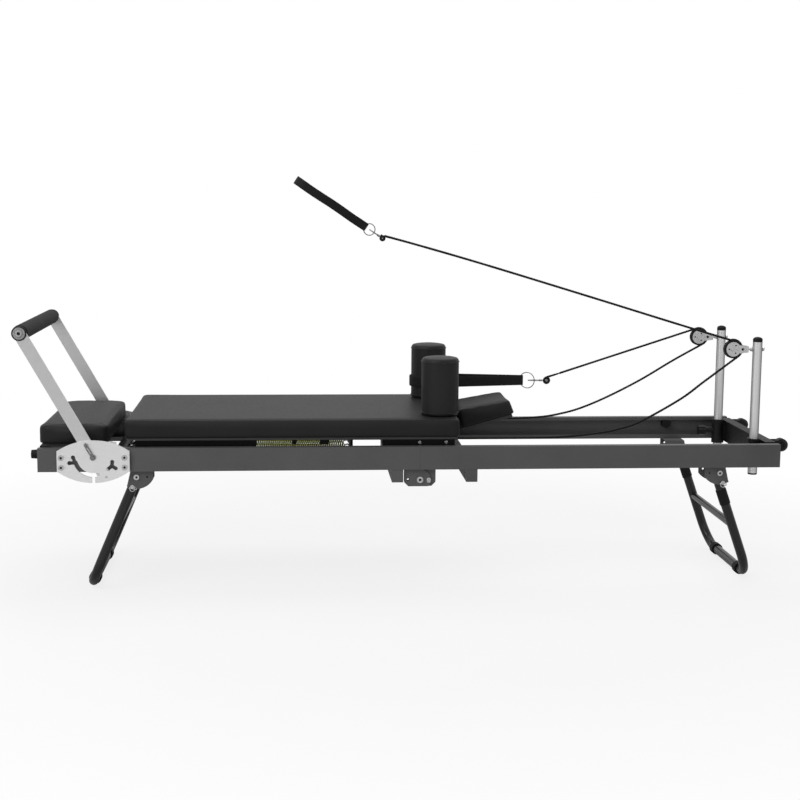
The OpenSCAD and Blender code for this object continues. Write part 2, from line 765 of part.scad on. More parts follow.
module headrest_board() placed() color(black_steel) tilted() difference() {
  union() {
    translate([18, -104, 0]) cube([168, 208, headrest_board_t]);
    for (y = [-58, 50]) translate([0, y, 0]) { // hinge lugs
      rotate([-90, 0, 0]) cylinder(d = 18, h = 8, $fn = 48);
      translate([0, 0, -9]) cube([40, 8, 18]);
    }
  }
  y_rod(0, -80, 80, 0, 8.1);
}

module headrest_pad() {
  edge_r = 10;
  placed() color([0.12, 0.12, 0.13]) tilted() hull() for (y = [-98, 98]) {
    for (p = [[28, 61], [176, 48], [185, 20]]) // [x, z]
      translate([p[0], y, p[1]]) sphere(r = edge_r, $fn = 24);
    for (x = [28, 185])
      translate([x, y, headrest_board_t]) cylinder(r = edge_r, h = 4, $fn = 24);
  }
}

// ---- ropes and straps
strap_angle = 146.5; // lie of the near strap above +X
near_ring = [-141, -post_y, 1120];
far_ring = [424, post_y, 599];
rope_d = 7;
rope_sides = 10;
rope_r = sheave_d / 2 + 0.8; // rope centre line round the sheave

function points_between(a, b, count) = // leaves out b itself
  [for (i = [0 : count - 1]) a + (b - a) * i / count];
function unit(v) = v / norm(v);
function tangent(path, i) = unit(path[min(i + 1, len(path) - 1)] - path[max(i - 1, 0)]);

// Section swept along path, width along the across direction; 4 sides make a flat strap
module sweep(path, width, thick, sides, across = [0, 1, 0]) {
  count = len(path);
  corner = sides == 4 ? sqrt(2) : 1; // puts the faces of a flat strap at its full size
  points = [
    for (i = [0 : count - 1])
      let (along = tangent(path, i), normal = unit(cross(along, across)),
           wide = cross(normal, along))
      for (j = [0 : sides - 1])
        let (a = 360 * (j + 0.5) / sides)
        path[i] + wide * (width / 2 * corner * cos(a)) + normal * (thick / 2 * corner * sin(a))
  ];
  faces = concat(
    [[for (j = [0 : sides - 1]) j]],
    [for (i = [0 : count - 2], j = [0 : sides - 1])
      let (next = (j + 1) % sides, here = i * sides, ahead = (i + 1) * sides)
      [here + j, ahead + j, ahead + next, here + next]],
    [[for (j = [sides - 1 : -1 : 0]) (count - 1) * sides + j]]);
  polyhedron(points = points, faces = faces, convexity = 6);
}

module rope(path) sweep(path, rope_d, rope_d, rope_sides);

// Point on the sheave where a lead arrives, angle back from the top
function lead_end(y, angle) = [pulley_x - rope_r * sin(angle), y, eye_z + rope_r * cos(angle)];

// Rope over the sheave and down through [x, z] stations to the carriage
function tail_path(y, stations) = concat(
  [[pulley_x, y, eye_z + rope_r]],
  [for (i = [0 : 18])
    let (a = 80 - 132 * i / 18) [pulley_x + rope_r * cos(a), y, eye_z + rope_r * sin(a)]],
  [for (s = stations) [s[0], y, s[1]]]);

// [x, z] along each rope below its pulley
near_stations = [[850, 588], [724, 517], [655, 494], [596, 482], [467, 469], [300, 468],
  [130, 468]];
far_stations = [[815, 599], [700, 540], [609, 502], [540, 483], [470, 472], [349, 468],
  [130, 468]];

near_lead = points_between(near_ring + [52, 0, -30], lead_end(-post_y, 16), 12);
far_lead_bend = [536, post_y, 624];
far_lead = concat(
  points_between(far_ring + [73, 0, -1], far_lead_bend, 4),
  points_between(far_lead_bend, lead_end(post_y, 17), 12));

module near_rope() placed() color([0.02, 0.02, 0.02]) rope(tail_path(-post_y, near_stations));
module far_rope() placed() color([0.02, 0.02, 0.02]) rope(tail_path(post_y, far_stations));

module wire_ring(r, wire_r, sides)
  rotate([90, 0, 0]) rotate_extrude($fn = sides) translate([r, 0]) circle(r = wire_r, $fn = 12);

module strap_ring(centre, r) translate(centre) wire_ring(r, 2.2, 40);

module hook(start, angle, length) translate(start) rotate([0, -angle, 0]) {
  translate([length / 2, 0, 0]) cube([length * 0.55, 7, 9], center = true);
  translate([length * 0.16, 0, 0]) wire_ring(6, 2, 24);
  translate([length * 0.9, 0, 0]) wire_ring(7, 2, 24);
}

// Hand loop as [along, y] points: out on the far side, round the end, back on the near side
function loop_points(length, spread, count) =
  let (gap = 1.9, end_r = spread + gap)
  concat(
    [for (i = [0 : count]) let (t = i / count) [t * length, gap + spread * sin(90 * t)]],
    [for (i = [1 : 7])
      let (a = 90 - 180 * i / 8) [length + end_r * 1.2 * cos(a), end_r * sin(a)]],
    [for (i = [count : -1 : 0])
      let (t = i / count) [t * length, -gap - spread * sin(90 * t)]]);

module near_strap() {
  along = [cos(strap_angle), 0, sin(strap_angle)];
  across = [-sin(strap_angle), 0, cos(strap_angle)];
  start = near_ring + along * 12;
  placed() color(cap_black) {
    sweep([for (p = loop_points(225, 34, 16)) start + along * p[0] + [0, p[1], 0]],
          27, 3, 4, across);
    strap_ring(near_ring, 17);
    hook(near_ring - along * 12, -34, 42);
    rope(near_lead);
  }
}

module far_strap() { // strap lying in a level loop round the far shoulder rest
  start = far_ring - [12, 0, 0];
  run = start[0] - rest_x;
  loop_r = 64;
  path = concat(
    [for (i = [0 : 8]) start + [-i * run / 8, -i * loop_r / 8, 0]],
    [for (i = [1 : 11])
      let (a = -90 - 180 * i / 12)
      [rest_x + loop_r * cos(a), post_y + 2 + loop_r * sin(a), start[2]]],
    [for (i = [8 : -1 : 0]) start + [-i * run / 8, i * (loop_r + 2) / 8 + 3, 0]]);
  placed() color(cap_black) {
    sweep(path, 34, 3, 4, [0, 0, 1]);
    strap_ring(far_ring, 26);
    hook(far_ring + [12, 0, 0], 0, 52);
    rope(far_lead);
  }
}

rails_foot_half();
rails_head_half();
foot_end_beam();
head_end_beam();
foot_cross_tube();
head_cross_tube();
fold_plates_foot();
fold_plates_head();
fold_pivot_bolts();
near_fold_pin();
far_fold_pin();
leg_brackets_foot();
leg_brackets_head();
leg_pivot_bolts_foot();
leg_pivot_bolts_head();
near_foot_leg_pin();
far_foot_leg_pin();
near_head_leg_pin();
far_head_leg_pin();
foot_leg_frame();
head_leg_frame();
foot_leg_pads();
head_leg_pads();
footbar_side_plates();
footbar_bolts();
footbar_arms();
footbar_tube();
footbar_grip();
footbar_end_discs();
footbar_lock_levers();
platform_board();
platform_pad();
spring_anchor_bar();
springs();
storage_feet();
post_sleeves();
post_lock_knobs();
carriage_bumpers();
wheel_brackets();
transport_wheels();
near_post();
far_post();
near_pulley_housing();
far_pulley_housing();
near_pulley_sheave();
far_pulley_sheave();
carriage_board();
carriage_pad();
carriage_underframe();
foot_side_wheels();
head_side_wheels();
carriage_wheel_axles();
near_shoulder_rest();
far_shoulder_rest();
headrest_board();
headrest_pad();
near_rope();
far_rope();
near_strap();
far_strap();
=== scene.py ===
# A folding reformer: two rails on leg frames, a sprung sliding carriage with shoulder rests and
# headrest, a footbar and platform at the foot end, and rope pulleys on posts at the head end.
# Metres, +Z up, floor at z = 0. The rails run along X with the foot end at low X. The near
# side is at -Y and the far side at +Y. The plain CAD pieces get materials and bevels; the
# cushions, springs, ropes, straps, posts and footbar grip are rebuilt in detail.
import random
from math import cos, sin, pi, radians

import bmesh
import bpy
import numpy as np
from mathutils import Matrix, Vector


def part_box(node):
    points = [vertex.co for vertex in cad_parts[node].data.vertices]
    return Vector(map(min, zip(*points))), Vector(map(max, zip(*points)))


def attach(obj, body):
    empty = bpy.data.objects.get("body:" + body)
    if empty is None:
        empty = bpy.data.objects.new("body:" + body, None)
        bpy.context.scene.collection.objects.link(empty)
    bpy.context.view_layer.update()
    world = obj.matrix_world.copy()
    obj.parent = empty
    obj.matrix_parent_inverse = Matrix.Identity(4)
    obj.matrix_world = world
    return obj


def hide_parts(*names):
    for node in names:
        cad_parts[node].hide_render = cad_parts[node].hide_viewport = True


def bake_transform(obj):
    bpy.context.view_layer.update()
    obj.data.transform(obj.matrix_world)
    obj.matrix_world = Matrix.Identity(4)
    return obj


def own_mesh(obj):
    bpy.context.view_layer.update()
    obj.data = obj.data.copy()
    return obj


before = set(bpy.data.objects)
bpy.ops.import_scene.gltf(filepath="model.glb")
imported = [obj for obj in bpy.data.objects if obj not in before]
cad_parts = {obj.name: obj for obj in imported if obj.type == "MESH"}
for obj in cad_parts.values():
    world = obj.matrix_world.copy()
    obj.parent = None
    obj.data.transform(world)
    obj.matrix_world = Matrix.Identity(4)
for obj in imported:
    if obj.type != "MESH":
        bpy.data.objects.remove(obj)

random.seed(7)
scene = bpy.context.scene

# ---------------------------------------------------------------- shared places
MID_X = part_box("rails_foot_half")[0].x + 1.15  # middle of the rails along X
SIDES = (("near", -1), ("far", 1))
ROPE_Y = 0.198                # ropes, straps and posts lie this far either side of the middle
SHEAVE_X = 1.015 + MID_X
SHEAVE_Z = 0.749
ROPE_WRAP_RADIUS = 0.029 + 0.0008
POST_X = 1.095 + MID_X
ROPE_RADIUS = 0.0039
CARRIAGE_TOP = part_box("carriage_pad")[1].z


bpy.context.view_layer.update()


# ---------------------------------------------------------------- material building blocks
class Material:
    """A Principled material and the few node set-ups that the looks share."""

    SOCKETS = {"base": "Base Color", "metal": "Metallic", "rough": "Roughness",
               "spec": "Specular IOR Level", "aniso": "Anisotropic"}

    def __init__(self, name):
        self.material = bpy.data.materials.new(name)
        self.material.use_nodes = True
        self.tree = self.material.node_tree
        self.shader = self.tree.nodes["Principled BSDF"]
        self.coords = self.add("ShaderNodeTexCoord")

    def add(self, kind, **values):
        """A new node; values are input values by name, with _ for a space."""
        node = self.tree.nodes.new(kind)
        for name, value in values.items():
            node.inputs[name.replace("_", " ")].default_value = value
        return node

    def link(self, source, target):
        self.tree.links.new(source, target)

    def mapped(self, scale=(1, 1, 1)):
        mapping = self.add("ShaderNodeMapping", Scale=scale)
        self.link(self.coords.outputs["Object"], mapping.inputs["Vector"])
        return mapping.outputs["Vector"]

    def noise(self, vector, scale, detail=4, rough=0.55):
        node = self.add("ShaderNodeTexNoise", Scale=scale, Detail=detail, Roughness=rough)
        self.link(vector, node.inputs["Vector"])
        return node.outputs["Fac"]

    def ramp(self, factor, first, last, start=0.3, end=0.7):
        """Blends two linear colours between the factors start and end."""
        node = self.add("ShaderNodeValToRGB")
        elements = node.color_ramp.elements
        elements[0].position = start
        elements[1].position = end
        elements[0].color = (*first, 1)
        elements[1].color = (*last, 1)
        self.link(factor, node.inputs["Fac"])
        return node.outputs["Color"]

    def span(self, factor, low, high):
        node = self.add("ShaderNodeMapRange", To_Min=low, To_Max=high)
        self.link(factor, node.inputs["Value"])
        return node.outputs["Result"]

    def bump(self, height, strength, distance, under=None):
        """Bumps the surface, on top of an earlier bump if one is given."""
        node = self.add("ShaderNodeBump", Strength=strength, Distance=distance)
        self.link(height, node.inputs["Height"])
        if under is not None:
            self.link(under, node.inputs["Normal"])
        self.link(node.outputs["Normal"], self.shader.inputs["Normal"])
        return node.outputs["Normal"]

    def set(self, **values):
        for key, value in values.items():
            socket = self.shader.inputs[self.SOCKETS[key]]
            if isinstance(value, bpy.types.NodeSocket):
                self.link(value, socket)
            else:
                socket.default_value = value


def linear(shade):
    """An sRGB grey or triple, 0 to 255, as a linear colour."""
    triple = shade if isinstance(shade, tuple) else (shade, shade, shade)
    return tuple(((c / 255 + 0.055) / 1.055) ** 2.4 if c > 10 else c / 255 / 12.92
                 for c in triple)


# In each family, shades are the two sRGB ends of the colour, rough is the middle roughness,
# grain is the scale of the fine noise and bump the strength of its relief.
def powder(name, shades, rough, grain, bump, spec=0.5):
    m = Material(name)
    v = m.mapped()
    m.set(base=m.ramp(m.noise(v, scale=5, detail=3), linear(shades[0]), linear(shades[1])),
          rough=m.span(m.noise(v, scale=60, detail=3), rough - 0.05, rough + 0.06),
          spec=spec)
    m.bump(m.noise(v, scale=grain, detail=2), bump, distance=0.0004)
    return m.material


def metal(name, shades, rough, grain, bump, stretch=(1, 1, 1), aniso=0.0, spread=0.08):
    m = Material(name)
    fine = m.noise(m.mapped(stretch), scale=grain, detail=5, rough=0.65)
    m.set(base=m.ramp(fine, linear(shades[0]), linear(shades[1])), metal=1.0,
          rough=m.span(fine, rough - spread / 2, rough + spread), aniso=aniso)
    m.bump(fine, bump, distance=0.0003)
    return m.material


def vinyl(name, shades, rough, spec):
    """Leathercloth: broad soft waves under a fine cell grain."""
    m = Material(name)
    v = m.mapped()
    cells = m.add("ShaderNodeTexVoronoi", Scale=420)
    cells.feature = "DISTANCE_TO_EDGE"
    m.link(v, cells.inputs["Vector"])
    m.set(base=m.ramp(m.noise(v, scale=7), linear(shades[0]), linear(shades[1])),
          rough=m.span(m.noise(v, scale=130), rough - 0.06, rough + 0.08), spec=spec)
    waves = m.bump(m.noise(v, scale=26), strength=0.10, distance=0.004)
    m.bump(m.span(cells.outputs["Distance"], 0, 1), strength=0.35, distance=0.0006,
           under=waves)
    return m.material


def plastic(name, shades, rough, grain, bump):
    m = Material(name)
    v = m.mapped()
    m.set(base=m.ramp(m.noise(v, scale=30), linear(shades[0]), linear(shades[1])),
          rough=m.span(m.noise(v, scale=80, detail=3), rough - 0.06, rough + 0.08), spec=0.25)
    m.bump(m.noise(v, scale=grain, detail=3), bump, distance=0.0005)
    return m.material


def post_metal():
    """Tube colour with a painted highlight where it faces the eye and painted shade towards its
    edges.
    """
    m = Material("post_painted_highlight")
    v = m.mapped(scale=(30, 30, 4))
    facing = m.add("ShaderNodeLayerWeight", Blend=0.35).outputs["Facing"]
    # painted highlight and painted shade: the base colour runs from light where the tube faces
    # the eye to dark at its edges
    m.set(base=m.ramp(facing, linear(248), linear(40), start=0.10, end=0.62), metal=0.55,
          rough=m.span(m.noise(v, scale=5), 0.28, 0.34))
    m.bump(m.noise(v, scale=40), strength=0.01, distance=0.0003)
    return m.material


# ---------------------------------------------------------------- materials
RAIL = powder("rail_powder_coat", (88, 96), rough=0.46, grain=1100, bump=0.10, spec=0.3)
BRACKET = powder("bracket_texture_coat", (84, 102), rough=0.58, grain=700, bump=0.5, spec=0.3)
BLACK = powder("black_powder_coat", (14, 20), rough=0.5, grain=900, bump=0.2, spec=0.25)
LEG = powder("leg_gloss_black", (14, 18), rough=0.24, grain=500, bump=0.04, spec=0.5)
ZINC = metal("zinc_plate", (180, 220), rough=0.26, grain=160, bump=0.1)
NICKEL = metal("nickel_wire", (120, 150), rough=0.28, grain=160, bump=0.05)
BRUSHED_ARM = metal("brushed_arm", (214, 228), rough=0.42, grain=3, bump=0.06,
                    stretch=(12, 12, 900), aniso=0.5)
BRUSHED_PLATE = metal("brushed_plate", (238, 250), rough=0.4, grain=3, bump=0.05,
                      stretch=(10, 10, 700), aniso=0.4)
CHROME = metal("chrome_lever", (120, 150), rough=0.2, grain=5, bump=0.01,
               stretch=(30, 30, 4), spread=0.05)
CHEEK = metal("cast_cheek", (190, 222), rough=0.42, grain=120, bump=0.2)
VINYL = vinyl("black_vinyl", (35, 40), rough=0.46, spec=0.15)
VINYL_HEAD = vinyl("black_vinyl_head", (34, 40), rough=0.46, spec=0.2)
VINYL_REST = vinyl("black_vinyl_rest", (32, 38), rough=0.44, spec=0.22)
RUBBER = plastic("black_rubber", (9, 14), rough=0.62, grain=240, bump=0.25)
FOAM = plastic("foam_grip", (15, 20), rough=0.7, grain=500, bump=0.4)
HARD = plastic("moulded_plastic", (15, 21), rough=0.38, grain=260, bump=0.05)
DISC = metal("grip_end_disc", (150, 172), rough=0.4, grain=90, bump=0.15)
TYRE = plastic("grey_tyre", (46, 58), rough=0.6, grain=300, bump=0.2)
BOARD = powder("faced_board", (58, 66), rough=0.6, grain=160, bump=0.25, spec=0.3)
ROPE = plastic("black_rope", (8, 14), rough=0.6, grain=700, bump=0.35)
WEBBING = plastic("black_webbing", (12, 19), rough=0.65, grain=900, bump=0.4)
SPRING = powder("yellow_spring", ((168, 162, 44), (190, 182, 62)), rough=0.35, grain=200,
                bump=0.05)
POST = post_metal()

# ---------------------------------------------------------------- CAD pieces
# material, the pieces that wear it
CAD_MATERIALS = (
    (RAIL, "rails_foot_half rails_head_half"),
    (BLACK, "foot_end_beam head_end_beam spring_anchor_bar post_sleeves wheel_brackets "
            "carriage_underframe"),
    (BRACKET, "foot_cross_tube head_cross_tube fold_plates_foot fold_plates_head "
              "leg_brackets_foot leg_brackets_head"),
    (ZINC, "fold_pivot_bolts near_fold_pin far_fold_pin leg_pivot_bolts_foot "
           "leg_pivot_bolts_head near_foot_leg_pin far_foot_leg_pin near_head_leg_pin "
           "far_head_leg_pin footbar_bolts footbar_tube carriage_wheel_axles"),
    (LEG, "foot_leg_frame head_leg_frame"),
    (RUBBER, "foot_leg_pads head_leg_pads storage_feet carriage_bumpers"),
    (BRUSHED_PLATE, "footbar_side_plates"),
    (BRUSHED_ARM, "footbar_arms"),
    (FOAM, "footbar_grip"),
    (DISC, "footbar_end_discs"),
    (CHROME, "footbar_lock_levers"),
    (BOARD, "platform_board carriage_board headrest_board"),
    (VINYL, "platform_pad carriage_pad"),
    (VINYL_HEAD, "headrest_pad"),
    (VINYL_REST, "near_shoulder_rest far_shoulder_rest"),
    (SPRING, "springs"),
    (HARD, "post_lock_knobs near_pulley_sheave far_pulley_sheave foot_side_wheels "
           "head_side_wheels"),
    (TYRE, "transport_wheels"),
    (POST, "near_post far_post"),
    (CHEEK, "near_pulley_housing far_pulley_housing"),
    (ROPE, "near_rope far_rope"),
    (WEBBING, "near_strap far_strap"),
)
# bevel width, the pieces that have it
CAD_BEVELS = (
    (0.0005, "near_pulley_housing far_pulley_housing footbar_bolts footbar_lock_levers "
             "fold_pivot_bolts leg_pivot_bolts_foot leg_pivot_bolts_head"),
    (0.0006, "footbar_side_plates leg_brackets_foot leg_brackets_head fold_plates_foot "
             "fold_plates_head wheel_brackets"),
    (0.0008, "rails_foot_half rails_head_half footbar_arms foot_end_beam head_end_beam "
             "post_sleeves carriage_underframe spring_anchor_bar"),
    (0.0012, "foot_cross_tube head_cross_tube"),
    (0.0015, "storage_feet"),
    (0.0025, "transport_wheels"),
)


def by_piece(table):
    return {name: value for value, names in table for name in names.split()}


def smooth(item, angle=35):
    for face in item.data.polygons:
        face.use_smooth = True
    item.data.set_sharp_from_angle(angle=radians(angle))


def dress_cad_pieces():
    materials, bevels = by_piece(CAD_MATERIALS), by_piece(CAD_BEVELS)
    for name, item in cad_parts.items():
        item.data.materials.clear()
        item.data.materials.append(materials[name])
        if name in bevels:
            bevel = item.modifiers.new("edge", "BEVEL")
            bevel.width = bevels[name]
            bevel.segments = 2
            bevel.limit_method = "ANGLE"
            bevel.angle_limit = radians(40)
        # guards against a loaded piece that isn't a mesh and so has no faces to smooth
        try:
            smooth(item)
        except AttributeError:
            pass


dress_cad_pieces()


# ---------------------------------------------------------------- mesh helpers
def mesh_object(name, verts, faces, mat, angle=40):
    """A welded mesh with outward normals, creased where it turns by more than angle."""
    mesh = bpy.data.meshes.new(name)
    mesh.from_pydata([tuple(v) for v in verts], [], faces)
    mesh.update()
    bm = bmesh.new()
    bm.from_mesh(mesh)
    bmesh.ops.remove_doubles(bm, verts=bm.verts, dist=1e-6)
    bmesh.ops.recalc_face_normals(bm, faces=bm.faces)
    bm.to_mesh(mesh)
    bm.free()
    item = bpy.data.objects.new(name, mesh)
    scene.collection.objects.link(item)
    mesh.materials.append(mat)
    smooth(item, angle)
    return item


def skin(name, verts, sides, mat, closed=False, around_first=False, angle=40):
    """Skins a run of rings of sides points; closed joins the ends, else they are capped.
    around_first winds each face along its ring before crossing to the next one."""
    faces, rings = [], len(verts) // sides
    for i in range(rings if closed else rings - 1):
        j = (i + 1) % rings
        for k in range(sides):
            k2 = (k + 1) % sides
            a, b, c, d = i * sides + k, j * sides + k, j * sides + k2, i * sides + k2
            faces.append((a, d, c, b) if around_first else (a, b, c, d))
    if not closed:
        faces.append(tuple(range(sides))[::-1])
        faces.append(tuple(range((rings - 1) * sides, rings * sides)))
    return mesh_object(name, verts, faces, mat, angle)


def arc(centre_radius, centre_height, radius, degrees):
    """Points of a rounded edge in a (radius, height) profile, from 0 outwards to 90 up."""
    return [(centre_radius + radius * cos(radians(a)), centre_height + radius * sin(radians(a)))
            for a in degrees]


def lathe(name, profile, mat, segs=64, axis="Z", loc=(0, 0, 0), angle=40):
    """Turns a (radius, height) profile about axis Z or Y; a radius of 0 closes an end."""
    verts, faces, rings = [], [], []
    for radius, height in profile:
        count = 1 if radius < 1e-7 else segs
        rings.append(list(range(len(verts), len(verts) + count)))
        if count == 1:
            verts.append((0, 0, height))
        else:
            verts += [(radius * cos(2 * pi * i / segs), radius * sin(2 * pi * i / segs), height)
                      for i in range(segs)]
    for a, b in zip(rings, rings[1:]):
        for i in range(segs):
            j = (i + 1) % segs
            if len(a) == 1:
                faces.append((a[0], b[i], b[j]))
            elif len(b) == 1:
                faces.append((a[i], a[j], b[0]))
            else:
                faces.append((a[i], a[j], b[j], b[i]))
    turn = Matrix.Rotation(radians(-90), 3, "X") if axis == "Y" else Matrix.Identity(3)
    verts = [turn @ Vector(v) + Vector(loc) for v in verts]
    return mesh_object(name, verts, faces, mat, angle)


def turned(name, profile, mat, base, axis, segs=48, angle=30):
    """A lathe part that stands on base and points along the vector axis."""
    item = lathe(name, profile, mat, segs, angle=angle)
    turn = Vector(axis).normalized().to_track_quat("Z", "Y").to_matrix().to_4x4()
    item.data.transform(Matrix.Translation(Vector(base)) @ turn)
    return item


def thread(name, radius, length, base, axis, mat, pitch=0.00125):
    root = radius * 0.86
    profile = [(0, 0)]
    for i in range(int(length / pitch)):
        profile += [(root, i * pitch), (radius, (i + 0.5) * pitch)]
    profile += [(root, length - 0.0004), (0, length)]
    return turned(name, profile, mat, base, axis, segs=24, angle=60)


def hexagon(name, radius, length, base, axis, mat, chamfer=0.0009):
    """A chamfered hexagon nut or bolt head."""
    turn = Vector(axis).normalized().to_track_quat("Z", "Y").to_matrix()
    sections = ((radius * 0.93, 0), (radius, chamfer), (radius, length - chamfer),
                (radius * 0.93, length))
    verts = []
    for r, z in sections:
        for i in range(6):
            a = radians(60 * i + 30)
            verts.append(turn @ Vector((r * cos(a), r * sin(a), z)) + Vector(base))
    return skin(name, verts, 6, mat, around_first=True, angle=20)


def catmull(points, step):
    """A smooth path through the points, sampled about every step."""
    pts = [Vector(p) for p in points]
    pts = [pts[0] * 2 - pts[1]] + pts + [pts[-1] * 2 - pts[-2]]
    path = []
    for i in range(1, len(pts) - 2):
        a, b, c, d = pts[i - 1:i + 3]
        count = max(1, int(round((c - b).length / step)))
        for k in range(count):
            t = k / count
            path.append(0.5 * ((2 * b) + (c - a) * t + (2 * a - 5 * b + 4 * c - d) * t * t
                               + (3 * b - a - 3 * c + d) * t ** 3))
    path.append(pts[-2])
    return path


def sweep(name, path, section, mat, ref=(0, 1, 0), twist=0.0, closed=False, angle=50):
    """Sweeps a section of (towards ref, across) offsets; twist is in radians per metre."""
    path, ref = [Vector(p) for p in path], Vector(ref)
    verts, length = [], 0.0
    for i, point in enumerate(path):
        before, after = path[max(i - 1, 0)], path[min(i + 1, len(path) - 1)]
        tangent = (after - before).normalized()
        up = (ref - tangent * ref.dot(tangent)).normalized()
        across = tangent.cross(up)
        if i:
            length += (point - before).length
        ct, st = cos(twist * length), sin(twist * length)
        verts += [point + up * (a * ct - b * st) + across * (a * st + b * ct)
                  for a, b in section]
    return skin(name, verts, len(section), mat, closed, angle=angle)


def circle(radius, sides=10):
    return [(radius * cos(2 * pi * i / sides), radius * sin(2 * pi * i / sides))
            for i in range(sides)]


def rope(name, points):
    """A twisted three-strand rope through the points."""
    sides, section = 15, []
    for i in range(sides):
        a = 2 * pi * i / sides
        r = ROPE_RADIUS * (0.86 + 0.14 * abs(cos(1.5 * a)))
        section.append((r * cos(a), r * sin(a)))
    return sweep(name, catmull(points, step=0.0035), section, ROPE, twist=230.0, angle=80)


def webbing(name, path, width, thick, ref):
    """A woven band: a thin lens section with rounded selvedges and a fine rib."""
    steps, upper = 12, []
    for i in range(steps + 1):
        a = -width / 2 + width * i / steps
        selvedge = 1 - 0.45 * (2 * abs(a) / width) ** 8
        upper.append((a, thick / 2 * selvedge * (1 + 0.10 * (-1) ** i)))
    section = upper + [(a, -b) for a, b in upper[::-1]]
    return sweep(name, path, section, WEBBING, ref=ref, angle=60)


def ring(name, centre, radius, wire, mat, segs=48, sides=10):
    """A closed ring of round wire lying in the XZ plane."""
    verts = []
    for i in range(segs):
        a = 2 * pi * i / segs
        out = Vector((cos(a), 0, sin(a)))
        middle = out * radius + Vector(centre)
        verts += [middle + out * across + Vector((0, side, 0))
                  for across, side in circle(wire, sides)]
    return skin(name, verts, sides, mat, closed=True)


def open_ring(name, centre, radius, wire, mat, start, end):
    """A hook of round wire in the XZ plane, from start to end in degrees."""
    segs = 48
    turns = [radians(start + (end - start) * i / segs) for i in range(segs + 1)]
    path = [Vector((radius * cos(a), 0, radius * sin(a))) + Vector(centre) for a in turns]
    return sweep(name, path, circle(wire), mat)


def rounded_block(name, low, high, corner, top_edge, mat, steps=6, bottom_edge=0.004):
    """A block with vertical corners of radius corner and rolled bottom and top edges."""
    (x0, y0, z0), (x1, y1, z1) = low, high
    quarter = [radians(90 * i / steps) for i in range(steps + 1)]
    levels = [(bottom_edge * (1 - sin(a)), z0 + bottom_edge * (1 - cos(a))) for a in quarter]
    levels += [(top_edge * (1 - cos(a)), z1 - top_edge * (1 - sin(a))) for a in quarter]
    # x, y, the way inwards along each, and the angle its arc starts at
    corners = ((x1, y1, -1, -1, 0), (x0, y1, 1, -1, 90), (x0, y0, 1, 1, 180),
               (x1, y0, -1, 1, 270))
    verts = []
    for inset, z in levels:
        r = max(corner - inset * 0.35, 0.002)
        for x, y, in_x, in_y, start in corners:
            for i in range(9):
                a = radians(start + 90 * i / 8)
                verts.append((x + in_x * (r + inset) + r * cos(a),
                              y + in_y * (r + inset) + r * sin(a), z))
    return skin(name, verts, 36, mat, around_first=True)


def join(name, parts):
    """Merges single-material parts into one object and removes them."""
    bm = bmesh.new()
    mats = []
    for part in parts:
        mat = part.data.materials[0]
        if mat not in mats:
            mats.append(mat)
        first = len(bm.faces)
        bm.from_mesh(part.data)
        bm.faces.ensure_lookup_table()
        for face in bm.faces[first:]:
            face.material_index = mats.index(mat)
    mesh = bpy.data.meshes.new(name)
    bm.to_mesh(mesh)
    bm.free()
    for mat in mats:
        mesh.materials.append(mat)
    for part in parts:
        bpy.data.objects.remove(part)
    item = bpy.data.objects.new(name, mesh)
    scene.collection.objects.link(item)
    smooth(item, 45)
    return item


def apply_modifier(item, modifier):
    bpy.ops.object.select_all(action="DESELECT")
    item.select_set(True)
    bpy.context.view_layer.objects.active = item
    bpy.ops.object.modifier_apply(modifier=modifier.name)


def add_cloth(item, pressure, frames):
    """Cloth held by the vertex group pin and blown up by pressure, without gravity."""
    stiffness = 15
    cloth = item.modifiers.new("cloth", "CLOTH")
    settings = cloth.settings
    settings.quality = 5
    settings.mass = 0.3
    settings.tension_stiffness = stiffness
    settings.compression_stiffness = stiffness
    settings.shear_stiffness = stiffness * 0.6
    settings.bending_stiffness = 0.6
    settings.use_pressure = True
    settings.uniform_pressure_force = pressure
    settings.shrink_min = 0.0
    settings.vertex_group_mass = "pin"
    settings.effector_weights.gravity = 0
    cloth.collision_settings.use_collision = False
    cloth.point_cache.frame_start = 1
    cloth.point_cache.frame_end = frames
    return cloth


def puff(item, voxel, pressure, limit, pin_below, smoothing=2):
    """Inflates a closed skin a little, by at most limit; points under pin_below stay."""
    remesh = item.modifiers.new("remesh", "REMESH")
    remesh.mode = "VOXEL"
    remesh.voxel_size = voxel
    remesh.use_smooth_shade = True
    apply_modifier(item, remesh)

    verts = item.data.vertices
    rest = np.array([v.co for v in verts], float)
    pinned = item.vertex_groups.new(name="pin")
    pinned.add([v.index for v in verts if v.co.z < pin_below], 1.0, "REPLACE")
    frames = 20
    cloth = add_cloth(item, pressure, frames)
    for i in range(1, frames + 1):
        scene.frame_set(i)
    apply_modifier(item, cloth)
    scene.frame_set(1)

    move = np.array([v.co for v in item.data.vertices], float) - rest
    move[~np.isfinite(move)] = 0
    length = np.linalg.norm(move, axis=1)
    share = np.where(length > limit, limit / np.maximum(length, 1e-9), 1.0)
    shape = (rest + move * share[:, None]).astype(np.float32)
    item.data.vertices.foreach_set("co", shape.ravel())
    item.data.update()
    item.vertex_groups.clear()

    relax = item.modifiers.new("sm", "SMOOTH")
    relax.factor = 0.5
    relax.iterations = smoothing
    apply_modifier(item, relax)
    smooth(item, 80)


# ---------------------------------------------------------------- upholstery
def flat_cushion(name, node, body, inset, top_drop, corner, edge, voxel, pressure, limit):
    """A cushion set in from its CAD box by inset all round and by top_drop at the top."""
    low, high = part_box(node)
    item = rounded_block(name, (low.x + inset, low.y + inset, low.z),
                         (high.x - inset, high.y - inset, high.z - top_drop),
                         corner, edge, VINYL)
    puff(item, voxel, pressure, limit, pin_below=low.z + 0.006)
    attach(item, body)
    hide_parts(node)


